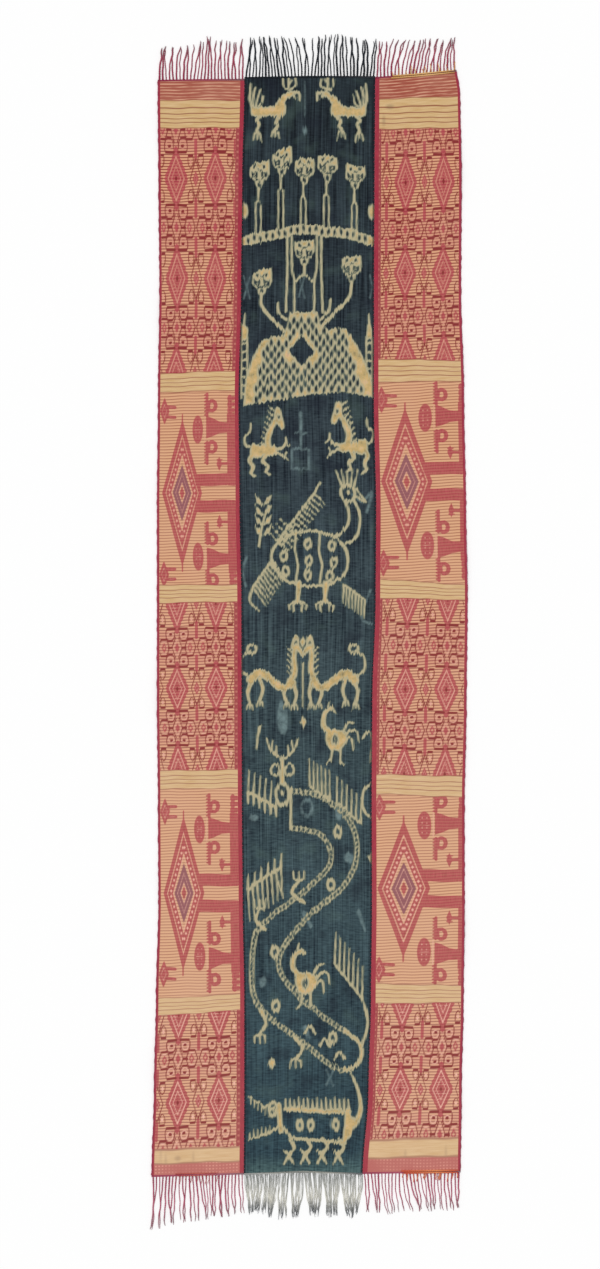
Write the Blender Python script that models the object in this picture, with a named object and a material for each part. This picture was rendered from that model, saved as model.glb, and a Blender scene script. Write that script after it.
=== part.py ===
"""Ceremonial shoulder cloth of three sewn panels, laid flat, face up.

A warp ikat panel runs down the middle, with a supplementary warp panel sewn to each side. The warp runs
along Y, the weft along X. At both ends the warp is bound in a narrow heading and twisted into a fringe.
Lengths are in metres. Z is 0 on the surface that the cloth lies on.
"""

import random
from collections import namedtuple

import bmesh
import bpy

# Driving dimensions of the cloth
PANEL_THICKNESS = 0.0015
CENTRE_THICKNESS = 0.0012
HEADING_WIDTH = 0.003
PIECE_GAP = 0.0003
PANEL_ROWS = 60
SWELL_REACH = 0.055

# Driving dimensions of a fringe strand
STRAND_ROOT_WIDTH = 0.0022
STRAND_TIP_WIDTH = 0.0015
STRAND_TIP_HEIGHT = 0.0011
STRAND_END_TAPER = 0.55
STRAND_SECTIONS = 4
LEAST_TIP_PITCH = 0.0023
LENGTH_SPREAD = 0.003
LOOSEST_LOCK = 0.4
LEAN_REACH = 0.08
LEAN_CURVE = 1.6
SWAY = 0.002
SWAY_PITCH = 0.11
FRINGE_SEED = 7

# The four long edges, from the top end to the bottom end: outer edge, seam, seam, outer edge
Station = namedtuple("Station", "y left left_seam right_seam right")
STATIONS = (
    Station(1.112, -0.3050, -0.1308, 0.1306, 0.2925),
    Station(1.085, -0.3046, -0.1314, 0.1303, 0.3000),
    Station(0.890, -0.3030, -0.1356, 0.1290, 0.3030),
    Station(0.670, -0.3010, -0.1380, 0.1280, 0.3020),
    Station(0.450, -0.3040, -0.1430, 0.1278, 0.3080),
    Station(0.230, -0.3060, -0.1410, 0.1324, 0.3120),
    Station(0.050, -0.3060, -0.1374, 0.1312, 0.3150),
    Station(-0.150, -0.3060, -0.1370, 0.1246, 0.3130),
    Station(-0.350, -0.3040, -0.1364, 0.1234, 0.3090),
    Station(-0.550, -0.3030, -0.1348, 0.1240, 0.3090),
    Station(-0.750, -0.3080, -0.1314, 0.1220, 0.3070),
    Station(-0.930, -0.3120, -0.1314, 0.1170, 0.3030),
    Station(-1.103, -0.3170, -0.1324, 0.1050, 0.3010),
)

# The panels. Top and bottom are the heights of an end's left corner, middle and right corner.
# Columns are the shares of the width at which a panel has its lines of points.
Panel = namedtuple("Panel", "name low_side high_side thickness top bottom columns")
PANELS = (
    Panel(
        "left_panel",
        "left",
        "left_seam",
        PANEL_THICKNESS,
        (1.0910, 1.0925, 1.0930),
        (-1.1026, -1.1000, -1.0975),
        (0.0, 0.1, 0.25, 0.5, 1.0),
    ),
    Panel(
        "centre_panel",
        "left_seam",
        "right_seam",
        CENTRE_THICKNESS,
        (1.0965, 1.0990, 1.0985),
        (-1.0985, -1.0935, -1.0980),
        (0.0, 0.5, 1.0),
    ),
    Panel(
        "right_panel",
        "right_seam",
        "right",
        PANEL_THICKNESS,
        (1.0965, 1.1030, 1.1110),
        (-1.0965, -1.0950, -1.0935),
        (0.0, 0.5, 0.75, 0.9, 1.0),
    ),
)

# Low swells where an outer edge lies off the surface: the edge, the swell's middle, half its length, its height
Swell = namedtuple("Swell", "edge y half_length height")
SWELLS = (
    Swell("left", 0.985, 0.085, 0.0016),
    Swell("left", 0.610, 0.110, 0.0022),
    Swell("left", 0.265, 0.090, 0.0018),
    Swell("left", -0.140, 0.120, 0.0024),
    Swell("left", -0.520, 0.095, 0.0016),
    Swell("left", -0.880, 0.110, 0.0022),
    Swell("right", 0.900, 0.110, 0.0024),
    Swell("right", 0.520, 0.090, 0.0017),
    Swell("right", 0.120, 0.120, 0.0023),
    Swell("right", -0.260, 0.090, 0.0018),
    Swell("right", -0.610, 0.115, 0.0024),
    Swell("right", -0.960, 0.085, 0.0016),
)

# The fringes. Locks are the numbers of strands drawn together, from left to right. A bend is a share of
# the fringe's width from its left, with the strands' length there and how far they lean to the right at
# LEAN_REACH from the heading.
Bend = namedtuple("Bend", "share length lean")
Fringe = namedtuple("Fringe", "name panel end locks bends")
TOP_END = 1
BOTTOM_END = -1
FRINGES = (
    Fringe(
        "top_left_fringe",
        "left_panel",
        TOP_END,
        (3, 2, 2, 2, 1, 3, 3, 1, 2, 1, 1, 2, 2),
        (
            Bend(0.00, 0.066, 0.003),
            Bend(0.25, 0.067, 0.006),
            Bend(0.45, 0.074, 0.009),
            Bend(0.58, 0.083, 0.001),
            Bend(0.72, 0.077, 0.003),
            Bend(0.85, 0.076, 0.004),
            Bend(1.00, 0.080, 0.002),
        ),
    ),
    Fringe(
        "top_centre_fringe",
        "centre_panel",
        TOP_END,
        (4, 2, 2, 2, 2, 3, 1, 2, 2, 1, 3, 1, 2, 2, 2, 1, 2, 1, 3, 2),
        (
            Bend(0.00, 0.076, 0.006),
            Bend(0.10, 0.078, 0.001),
            Bend(0.20, 0.080, -0.009),
            Bend(0.38, 0.078, -0.012),
            Bend(0.47, 0.076, -0.008),
            Bend(0.53, 0.076, 0.005),
            Bend(0.62, 0.080, 0.001),
            Bend(0.72, 0.082, 0.001),
            Bend(0.80, 0.078, -0.003),
            Bend(0.88, 0.074, 0.000),
            Bend(1.00, 0.072, 0.009),
        ),
    ),
    Fringe(
        "top_right_fringe",
        "right_panel",
        TOP_END,
        (2, 1, 1, 1, 2, 1, 2, 1, 2, 2, 2, 2, 4),
        (
            Bend(0.00, 0.072, 0.003),
            Bend(0.10, 0.073, 0.008),
            Bend(0.24, 0.072, 0.020),
            Bend(0.45, 0.069, 0.020),
            Bend(0.60, 0.068, 0.014),
            Bend(0.78, 0.065, 0.014),
            Bend(0.90, 0.064, 0.009),
            Bend(1.00, 0.062, 0.007),
        ),
    ),
    Fringe(
        "bottom_left_fringe",
        "left_panel",
        BOTTOM_END,
        (2, 2, 1, 3, 3, 1, 1, 1, 3, 3, 2, 2, 2, 2),
        (
            Bend(0.00, 0.106, -0.005),
            Bend(0.18, 0.100, -0.002),
            Bend(0.28, 0.089, -0.001),
            Bend(0.40, 0.093, 0.003),
            Bend(0.57, 0.085, 0.008),
            Bend(0.70, 0.084, -0.001),
            Bend(0.78, 0.086, 0.003),
            Bend(0.88, 0.079, 0.002),
            Bend(1.00, 0.079, 0.006),
        ),
    ),
    Fringe(
        "bottom_centre_fringe",
        "centre_panel",
        BOTTOM_END,
        (7, 2, 4, 4, 5, 7, 7, 8),
        (
            Bend(0.00, 0.076, 0.001),
            Bend(0.15, 0.077, -0.002),
            Bend(0.25, 0.085, -0.006),
            Bend(0.38, 0.091, -0.003),
            Bend(0.50, 0.091, 0.000),
            Bend(0.60, 0.085, 0.004),
            Bend(0.75, 0.084, 0.001),
            Bend(0.90, 0.084, 0.000),
            Bend(1.00, 0.080, -0.002),
        ),
    ),
    Fringe(
        "bottom_right_fringe",
        "right_panel",
        BOTTOM_END,
        (2, 3, 2, 2, 1, 1, 2, 3, 1, 2, 2, 2, 1, 2, 2),
        (
            Bend(0.00, 0.075, 0.002),
            Bend(0.20, 0.081, 0.010),
            Bend(0.30, 0.080, 0.006),
            Bend(0.48, 0.075, 0.017),
            Bend(0.60, 0.074, 0.014),
            Bend(0.73, 0.074, 0.005),
            Bend(0.85, 0.075, 0.007),
            Bend(1.00, 0.070, 0.002),
        ),
    ),
)

# Finishes: colour in linear light and roughness
Finish = namedtuple("Finish", "colour roughness")
FINISHES = {
    "indigo_ikat": Finish((0.030, 0.060, 0.080), 0.9),
    "crimson_weave": Finish((0.480, 0.130, 0.110), 0.9),
    "indigo_yarn": Finish((0.040, 0.055, 0.070), 0.92),
    "faded_yarn": Finish((0.420, 0.430, 0.420), 0.92),
    "crimson_yarn": Finish((0.340, 0.060, 0.080), 0.92),
}
NODE_FINISH = {
    "left_panel": "crimson_weave",
    "right_panel": "crimson_weave",
    "centre_panel": "indigo_ikat",
    "top_centre_fringe": "indigo_yarn",
    "bottom_centre_fringe": "faded_yarn",
}


def clear_scene():
    for obj in list(bpy.data.objects):
        bpy.data.objects.remove(obj, do_unlink=True)


def make_materials():
    made = {}
    for name, finish in FINISHES.items():
        material = bpy.data.materials.new(name)
        material.use_nodes = True
        shader = material.node_tree.nodes["Principled BSDF"]
        shader.inputs["Base Color"].default_value = (*finish.colour, 1.0)
        shader.inputs["Roughness"].default_value = finish.roughness
        shader.inputs["Metallic"].default_value = 0.0
        made[name] = material
    return made


def smooth(share):
    """Eases 0 to 1 with level ends."""
    return share * share * (3.0 - 2.0 * share)


def mix(low, high, share):
    return low + (high - low) * share


def edge_x(side, y):
    """Where a long edge lies at height y along the cloth."""
    if y >= STATIONS[0].y:
        return getattr(STATIONS[0], side)
    for above, below in zip(STATIONS, STATIONS[1:]):
        if y >= below.y:
            share = smooth((above.y - y) / (above.y - below.y))
            return mix(getattr(above, side), getattr(below, side), share)
    return getattr(STATIONS[-1], side)


def end_y(corners, share):
    """Height of a panel's end, which runs straight from each corner to its middle."""
    left, middle, right = corners
    if share < 0.5:
        return mix(left, middle, share * 2.0)
    return mix(middle, right, share * 2.0 - 1.0)


def hump(distance, reach):
    """Rises smoothly from 0 at the reach to 1 at no distance."""
    return smooth(max(0.0, 1.0 - abs(distance) / reach))


def lift(x, y):
    """How far the cloth's underside lies off the surface."""
    return sum(
        swell.height * hump(y - swell.y, swell.half_length) * hump(x - edge_x(swell.edge, y), SWELL_REACH)
        for swell in SWELLS
    )


def seam_gap(side):
    """Half of the gap between two panels on a seam, and none on an outer edge."""
    return PIECE_GAP / 2 if side.endswith("seam") else 0.0


def panel_point(panel, across, along, inset=0.0):
    """Place of a panel's point from its shares across and along, between ends that are drawn in by the inset."""
    top = end_y(panel.top, across) - inset
    bottom = end_y(panel.bottom, across) + inset
    y = mix(bottom, top, along)
    low = edge_x(panel.low_side, y) + seam_gap(panel.low_side)
    high = edge_x(panel.high_side, y) - seam_gap(panel.high_side)
    return mix(low, high, across), y


def thicken(bm, thickness):
    """Makes a closed sheet of a flat one, upwards."""
    raised = bmesh.ops.extrude_face_region(bm, geom=bm.faces[:])["geom"]
    verts = [item for item in raised if isinstance(item, bmesh.types.BMVert)]
    bmesh.ops.translate(bm, vec=(0.0, 0.0, thickness), verts=verts)
    bmesh.ops.recalc_face_normals(bm, faces=bm.faces[:])


def unit_grid(columns, rows):
    """A flat grid on the unit square, with the share across in x and the share along in y."""
    bm = bmesh.new()
    bmesh.ops.create_grid(bm, x_segments=columns, y_segments=rows, size=0.5)
    bmesh.ops.translate(bm, vec=(0.5, 0.5, 0.0), verts=bm.verts[:])
    return bm


def add_node(name, bm, materials, parent):
    mesh = bpy.data.meshes.new(name)
    bm.to_mesh(mesh)
    bm.free()
    mesh.materials.append(materials[NODE_FINISH.get(name, "crimson_yarn")])
    obj = bpy.data.objects.new(name, mesh)
    bpy.context.scene.collection.objects.link(obj)
    obj.parent = parent
    return obj


def make_panel(panel, materials, parent):
    """One woven panel, between its headings."""
    columns = len(panel.columns) - 1
    bm = unit_grid(columns, PANEL_ROWS)
    for vert in bm.verts:
        across = panel.columns[round(vert.co.x * columns)]
        x, y = panel_point(panel, across, vert.co.y, inset=HEADING_WIDTH + PIECE_GAP)
        vert.co = (x, y, lift(x, y))
    thicken(bm, panel.thickness)
    return add_node(panel.name, bm, materials, parent)


def bend_at(bends, share):
    """Length and lean of a fringe's strands at a share of its width."""
    for before, after in zip(bends, bends[1:]):
        if share <= after.share:
            ease = smooth((share - before.share) / (after.share - before.share))
            return mix(before.length, after.length, ease), mix(before.lean, after.lean, ease)
    return bends[-1].length, bends[-1].lean


def lean_share(distance):
    """How much of its lean a strand has at a distance from its heading."""
    return (distance / LEAN_REACH) ** LEAN_CURVE


def strand_tips(fringe, width):
    """Length and lean of each strand. The tips of a lock are drawn together without touching."""
    chance = random.Random(FRINGE_SEED + FRINGES.index(fringe))
    strands = sum(fringe.locks)
    pitch = width / strands
    tips = []
    for size in fringe.locks:
        length, lean = bend_at(fringe.bends, (len(tips) + size / 2) / strands)
        tip_pitch = mix(LEAST_TIP_PITCH, pitch, chance.uniform(0.0, LOOSEST_LOCK))
        drawn_in = (tip_pitch - pitch) / lean_share(length + LENGTH_SPREAD)
        for number in range(size):
            from_middle = number - (size - 1) / 2
            own_length = length + chance.uniform(-LENGTH_SPREAD, LENGTH_SPREAD)
            tips.append((own_length, lean + from_middle * drawn_in))
    return tips


def sway(x, share):
    """Side to side wander of the strands, alike in neighbours and none at root and tip."""
    swing = mix(-1.0, 1.0, smooth(abs(2.0 * ((x / SWAY_PITCH) % 1.0) - 1.0)))
    bow = 4.0 * share * (1.0 - share)
    return SWAY * swing * bow


def grow_strand(bm, face, end, length, lean, root_height):
    """Extrudes one strand from its root face, its underside level on the surface."""
    root = face.calc_center_median()
    for section in range(1, STRAND_SECTIONS + 1):
        share = section / STRAND_SECTIONS
        centre_x = root.x + lean * lean_share(length * share) + sway(root.x, share)
        half_width = mix(STRAND_ROOT_WIDTH, STRAND_TIP_WIDTH, share) / 2
        top = mix(root_height, STRAND_TIP_HEIGHT, share)
        if section == STRAND_SECTIONS:
            half_width *= STRAND_END_TAPER
        before = face.calc_center_median()
        face = bmesh.ops.extrude_discrete_faces(bm, faces=[face])["faces"][0]
        for vert in face.verts:
            side = half_width if vert.co.x > before.x else -half_width
            level = top if vert.co.z > before.z else 0.0
            vert.co = (centre_x + side, root.y + end * length * share, level)


def end_faces(bm, end):
    """The faces that look out of the cloth's end, from left to right."""
    facing = [face for face in bm.faces if face.normal.y * end > abs(face.normal.x) + abs(face.normal.z)]
    return sorted(facing, key=lambda face: face.calc_center_median().x)


def make_fringe(fringe, materials, parent):
    """A bound heading with its strands, one closed body."""
    panel = next(panel for panel in PANELS if panel.name == fringe.panel)
    strands = sum(fringe.locks)
    at_end = 1.0 if fringe.end == TOP_END else 0.0
    left = panel_point(panel, 0.0, at_end)[0]
    width = panel_point(panel, 1.0, at_end)[0] - left
    half_root = STRAND_ROOT_WIDTH / 2 / width
    shares = [0.0]
    for number in range(strands):
        middle = (number + 0.5) / strands
        shares += [middle - half_root, middle + half_root]
    shares.append(1.0)
    cells = len(shares) - 1
    bm = unit_grid(cells, 1)
    for vert in bm.verts:
        across = shares[round(vert.co.x * cells)]
        x, y = panel_point(panel, across, at_end)
        outer = abs(vert.co.y - at_end) < 0.5
        vert.co = (x, y if outer else y - fringe.end * HEADING_WIDTH, 0.0)
    thicken(bm, panel.thickness)
    roots = end_faces(bm, fringe.end)[1::2]
    for face, (length, lean) in zip(roots, strand_tips(fringe, width)):
        grow_strand(bm, face, fringe.end, length, lean, panel.thickness)
    bmesh.ops.recalc_face_normals(bm, faces=bm.faces[:])
    return add_node(fringe.name, bm, materials, parent)


def centre_on_origin(cloth, nodes):
    """Places the cloth so that the middle of its outline is at the origin."""
    xs = [vert.co.x for node in nodes for vert in node.data.vertices]
    ys = [vert.co.y for node in nodes for vert in node.data.vertices]
    cloth.location = (-(min(xs) + max(xs)) / 2, -(min(ys) + max(ys)) / 2, 0.0)


def main():
    clear_scene()
    materials = make_materials()
    cloth = bpy.data.objects.new("shoulder_cloth", None)
    bpy.context.scene.collection.objects.link(cloth)
    nodes = [make_panel(panel, materials, cloth) for panel in PANELS]
    nodes += [make_fringe(fringe, materials, cloth) for fringe in FRINGES]
    centre_on_origin(cloth, nodes)


main()
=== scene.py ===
"""Looks of a ceremonial shoulder cloth: an indigo warp ikat panel between two crimson patterned panels.

Each panel's solid is replaced by a finely divided closed sheet of the same outline and lie. Its motifs are
drawn in millimetres by the functions below. Every point of a sheet keeps how far inside a motif it lies,
which raises the pattern floats there and, through the panel's material, colours them. The fringes are
twisted cords and loose threads that follow the strands of their solids. X runs along the weft, Y along the
warp, Z up.
"""

import math
import random
from collections import namedtuple

import bmesh
import bpy
import numpy as np
from mathutils import Matrix, Vector
from mathutils.bvhtree import BVHTree


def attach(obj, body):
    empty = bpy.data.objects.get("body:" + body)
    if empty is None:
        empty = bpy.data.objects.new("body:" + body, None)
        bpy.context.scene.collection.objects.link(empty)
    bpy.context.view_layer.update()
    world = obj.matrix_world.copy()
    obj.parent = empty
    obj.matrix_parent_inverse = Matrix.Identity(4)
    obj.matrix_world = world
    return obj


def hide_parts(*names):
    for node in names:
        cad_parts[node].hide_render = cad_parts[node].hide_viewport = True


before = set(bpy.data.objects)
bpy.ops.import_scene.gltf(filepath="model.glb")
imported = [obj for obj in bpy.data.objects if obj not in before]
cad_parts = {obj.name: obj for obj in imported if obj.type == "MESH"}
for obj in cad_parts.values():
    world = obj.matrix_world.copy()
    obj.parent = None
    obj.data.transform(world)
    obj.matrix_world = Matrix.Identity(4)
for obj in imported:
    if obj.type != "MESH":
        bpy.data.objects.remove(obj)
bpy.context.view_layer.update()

MM = 0.001
FAR = 1000.0
BODY = "root"

# The sheets: cells across and along the face, and across the underside
Cells = namedtuple("Cells", "across along under")
SIDE_CELLS = Cells(92, 990, 4)
CENTRE_CELLS = Cells(112, 812, 4)
FLOAT_HEIGHT = 0.35
SOFTNESS = 4.6
MOTIF_SOFTNESS = 9.0
MOTIF_HEIGHT = 0.12
PUCKER_HEIGHT = 0.30
PUCKER_PITCH = 23.0
PUCKER_REACH = 14.0

# Crimson panels, in millimetres
PANEL_WIDTH = 163.0
SELVEDGE_WIDTH = 4.6
# The cloth has a ground line every 4.9 mm. They are drawn wider apart, so that they don't blur together.
GROUND_LINE_PITCH = 5.9
RED_LINE_PITCH = 6.2
DOT_PITCH = 6.0
# The diamond repeat, as its chart draws it: its period along the warp, the distance between its columns,
# how far a cross bar lies from a diamond's middle, and from bar to bar, over the frames and over a diamond
DIAMOND_PERIOD = 196.0
COLUMN_PITCH = 78.4
CROSS_BAR = 52.0
BAR_TO_BAR = (92.0, 104.0)

# Ikat: how far single groups of warp threads slip along the cloth, in millimetres
WARP_SLIP = 2.0


def mix(low, high, share):
    return low + (high - low) * share


def smooth(share):
    """Eases 0 to 1 with level ends."""
    share = np.clip(share, 0.0, 1.0)
    return share * share * (3.0 - 2.0 * share)


# Drawing

def depth_in_line(x, y, points, width, end_width):
    """How deep places lie in a line with round ends, whose width changes evenly from its start to its end."""
    pieces = len(points) - 1
    depth = np.full(x.shape, -FAR)
    for number in range(pieces):
        (start_x, start_y), (end_x, end_y) = points[number], points[number + 1]
        run_x, run_y = end_x - start_x, end_y - start_y
        length = max(run_x * run_x + run_y * run_y, 1e-9)
        share = np.clip(((x - start_x) * run_x + (y - start_y) * run_y) / length, 0.0, 1.0)
        gap = np.hypot(x - start_x - share * run_x, y - start_y - share * run_y)
        half_width = mix(width, end_width, (number + share) / pieces) / 2
        depth = np.maximum(depth, half_width - gap)
    return depth


def depth_in_shape(x, y, points):
    """How deep places lie in a closed outline."""
    inside = np.zeros(x.shape, dtype=bool)
    gap = np.full(x.shape, FAR)
    for (start_x, start_y), (end_x, end_y) in zip(points, points[1:] + points[:1]):
        run_x, run_y = end_x - start_x, end_y - start_y
        length = max(run_x * run_x + run_y * run_y, 1e-9)
        share = np.clip(((x - start_x) * run_x + (y - start_y) * run_y) / length, 0.0, 1.0)
        gap = np.minimum(gap, np.hypot(x - start_x - share * run_x, y - start_y - share * run_y))
        if start_y != end_y:
            crossed = (start_y > y) != (end_y > y)
            inside ^= crossed & (x < start_x + (y - start_y) / run_y * run_x)
    return np.where(inside, gap, -gap)


def smooth_through(points, closed=False):
    """A smooth curve through a few points."""
    steps = 5
    count = len(points)
    pieces = count if closed else count - 1
    curve = []
    for number in range(pieces):
        if closed:
            before, start, end, after = (points[(number + offset) % count] for offset in (-1, 0, 1, 2))
        else:
            start, end = points[number], points[number + 1]
            before = points[number - 1] if number else start
            after = points[number + 2] if number + 2 < count else end
        for step in range(steps):
            share = step / steps
            curve.append(tuple(
                0.5 * (
                    2 * start[axis]
                    + (end[axis] - before[axis]) * share
                    + (2 * before[axis] - 5 * start[axis] + 4 * end[axis] - after[axis]) * share ** 2
                    + (3 * start[axis] - before[axis] - 3 * end[axis] + after[axis]) * share ** 3
                )
                for axis in (0, 1)
            ))
    if not closed:
        curve.append(tuple(points[-1]))
    return curve


def box_corners(x, y, half_width, half_height):
    """The corners of an upright box, from its middle."""
    return [(x + side, y + up) for side in (-half_width, half_width) for up in (-half_height, half_height)]


class Drawing:
    """Motifs on a sheet's points. Each point keeps how deep inside the motifs it lies, in millimetres."""

    margin = 8.0

    def __init__(self, across, along):
        self.order = np.argsort(along, kind="stable")
        self.across = across[self.order]
        self.along = along[self.order]
        self.depth = np.full(len(across), -FAR)

    def rows_between(self, low, high):
        first, last = np.searchsorted(self.along, (low - self.margin, high + self.margin))
        return slice(first, last)

    def merge(self, part, depth, erase):
        if erase:
            self.depth[part] = np.minimum(self.depth[part], -depth)
        else:
            self.depth[part] = np.maximum(self.depth[part], depth)

    def cover(self, softness):
        """1 inside the motifs and 0 outside, eased over the softness, in the order of the sheet's points."""
        cover = np.empty_like(self.depth)
        cover[self.order] = np.clip(0.5 + self.depth / softness, 0.0, 1.0)
        return cover


class Pen:
    """Draws in a motif's own millimetres, from its middle, mirrored, turned or scaled on the cloth."""

    def __init__(self, drawing, x=0.0, y=0.0, flip=1, size=1.0, turn=0.0, erase=False):
        self.drawing = drawing
        self.x = x
        self.y = y
        self.flip = flip
        self.size = size
        self.turn = math.radians(turn)
        self.erase = erase

    def eraser(self):
        return Pen(self.drawing, self.x, self.y, self.flip, self.size, math.degrees(self.turn), erase=True)

    def stamp(self, reach, depth_at):
        """Adds a shape, from points that it reaches and how deep inside it any place of the motif lies."""
        cosine, sine = math.cos(self.turn), math.sin(self.turn)
        levels = [self.y + self.size * (x * self.flip * sine + y * cosine) for x, y in reach]
        part = self.drawing.rows_between(min(levels), max(levels))
        from_x = self.drawing.across[part] - self.x
        from_y = self.drawing.along[part] - self.y
        x = (from_x * cosine + from_y * sine) * self.flip / self.size
        y = (from_y * cosine - from_x * sine) / self.size
        self.drawing.merge(part, depth_at(x, y) * self.size, self.erase)

    def line(self, points, width, end_width=None):
        last = width if end_width is None else end_width
        self.stamp(points, lambda x, y: depth_in_line(x, y, points, width, last))

    def curve(self, points, width, end_width=None):
        self.line(smooth_through(points), width, end_width)

    def shape(self, points):
        self.stamp(points, lambda x, y: depth_in_shape(x, y, points))

    def blob(self, points):
        self.shape(smooth_through(points, closed=True))

    def oval(self, x, y, half_width, half_height):
        def depth_at(at_x, at_y):
            share = np.hypot((at_x - x) / half_width, (at_y - y) / half_height)
            return (1.0 - share) * min(half_width, half_height)
        self.stamp(box_corners(x, y, half_width, half_height), depth_at)

    def ring(self, x, y, half_width, half_height, width):
        """An oval line, measured to its middle."""
        def depth_at(at_x, at_y):
            share = np.hypot((at_x - x) / half_width, (at_y - y) / half_height)
            return width / 2 - np.abs(1.0 - share) * min(half_width, half_height)
        self.stamp(box_corners(x, y, half_width, half_height), depth_at)

    def diamond(self, x, y, half_width, half_height):
        slope = half_width * half_height / math.hypot(half_width, half_height)

        def depth_at(at_x, at_y):
            return (1.0 - np.abs(at_x - x) / half_width - np.abs(at_y - y) / half_height) * slope
        self.stamp([(x, y - half_height), (x, y + half_height)], depth_at)

    def diamond_line(self, x, y, half_width, half_height, width):
        slope = half_width * half_height / math.hypot(half_width, half_height)

        def depth_at(at_x, at_y):
            share = np.abs(at_x - x) / half_width + np.abs(at_y - y) / half_height
            return width / 2 - np.abs(1.0 - share) * slope
        self.stamp([(x, y - half_height), (x, y + half_height)], depth_at)


# Panels read from their solids

def merged_copy(node):
    """A copy of a node's mesh with its loose triangles joined."""
    bm = bmesh.new()
    bm.from_mesh(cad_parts[node].data)
    bmesh.ops.remove_doubles(bm, verts=bm.verts[:], dist=0.001 * MM)
    bm.verts.index_update()
    return bm


def edge_between(points, edges, start, end, axis, pick):
    """One edge of a plan from corner to corner: levels on an axis, and the outermost place at each."""
    other = 1 - axis
    near, far = points[edges[:, 0]], points[edges[:, 1]]
    levels = np.linspace(start[axis], end[axis], 260)
    places = [start[other]]
    for level in levels[1:-1]:
        hit = (near[:, axis] - level) * (far[:, axis] - level) <= 0
        hit &= near[:, axis] != far[:, axis]
        share = (level - near[hit, axis]) / (far[hit, axis] - near[hit, axis])
        places.append(pick(mix(near[hit, other], far[hit, other], share)))
    places.append(end[other])
    return levels, np.array(places)


class Plan:
    """Where a panel lies: its four edges and the height of its face, in metres."""

    def __init__(self, node):
        bm = merged_copy(node)
        points = np.array([vert.co[:] for vert in bm.verts])
        edges = np.array([[vert.index for vert in edge.verts] for edge in bm.edges])
        corners = {
            (right, up): points[np.argmax(points[:, 0] * right + points[:, 1] * up)]
            for right in (-1, 1) for up in (-1, 1)
        }
        self.left = edge_between(points, edges, corners[-1, -1], corners[-1, 1], 1, np.min)
        self.right = edge_between(points, edges, corners[1, -1], corners[1, 1], 1, np.max)
        self.bottom = edge_between(points, edges, corners[-1, -1], corners[1, -1], 0, np.min)
        self.top = edge_between(points, edges, corners[-1, 1], corners[1, 1], 0, np.max)
        self.read_heights(BVHTree.FromBMesh(bm))
        bm.free()

    def place(self, across, along):
        """Places in plan of points given as shares of the panel's width and length."""
        y = mix(self.bottom[1].mean(), self.top[1].mean(), along)
        for _ in range(6):
            x = mix(np.interp(y, *self.left), np.interp(y, *self.right), across)
            y = mix(np.interp(x, *self.bottom), np.interp(x, *self.top), along)
        return x, y

    def read_heights(self, tree):
        """Heights of the face on an even table of shares, eased over the solid's flat facets."""
        columns, rows = 25, 240
        inset = 0.004
        across, along = np.meshgrid(*(np.linspace(inset, 1 - inset, count) for count in (columns, rows)))
        x, y = self.place(across, along)
        above, below = 0.1, -0.1
        face = np.empty(x.shape)
        depth = np.empty(x.shape)
        for index in np.ndindex(x.shape):
            down = tree.ray_cast(Vector((x[index], y[index], above)), Vector((0, 0, -1)))[0]
            up = tree.ray_cast(Vector((x[index], y[index], below)), Vector((0, 0, 1)))[0]
            face[index] = down.z
            depth[index] = down.z - up.z
        self.thickness = float(np.median(depth))
        for _ in range(5):
            padded = np.pad(face, ((1, 1), (0, 0)), mode="edge")
            face = (padded[:-2] + 2 * padded[1:-1] + padded[2:]) / 4
        self.face = face

    def height(self, across, along):
        """Height of the face at shares of the width and length."""
        rows, columns = self.face.shape
        column = across * (columns - 1)
        row = along * (rows - 1)
        left = np.minimum(column.astype(int), columns - 2)
        below = np.minimum(row.astype(int), rows - 2)
        low = mix(self.face[below, left], self.face[below, left + 1], column - left)
        high = mix(self.face[below + 1, left], self.face[below + 1, left + 1], column - left)
        return mix(low, high, row - below)


def closed_sheet(cells):
    """A closed sheet on the unit square: a fine grid above, a coarse one below, and a rim."""
    bm = bmesh.new()
    for across, level in ((cells.across, 0.0), (cells.under, -1.0)):
        place = Matrix.Translation((0.5, 0.5, level))
        bmesh.ops.create_grid(bm, x_segments=across, y_segments=cells.along, size=0.5, matrix=place)
    rim = [edge for edge in bm.edges if edge.is_boundary]
    for side in (0.0, 1.0):
        long_edges = [edge for edge in rim if all(abs(vert.co.x - side) < 1e-4 for vert in edge.verts)]
        bmesh.ops.bridge_loops(bm, edges=long_edges)
    bmesh.ops.holes_fill(bm, edges=[edge for edge in bm.edges if edge.is_boundary], sides=0)
    bmesh.ops.recalc_face_normals(bm, faces=bm.faces[:])
    return bm


def set_attribute(mesh, name, x, y, z):
    values = np.column_stack((x, y, z)).astype(np.float32)
    mesh.attributes.new(name, "FLOAT_VECTOR", "POINT").data.foreach_set("vector", values.ravel())


def set_uv(mesh, name, corner_u, corner_v):
    layer = mesh.uv_layers.new(name=name)
    layer.data.foreach_set("uv", np.column_stack((corner_u, corner_v)).astype(np.float32).ravel())


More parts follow.
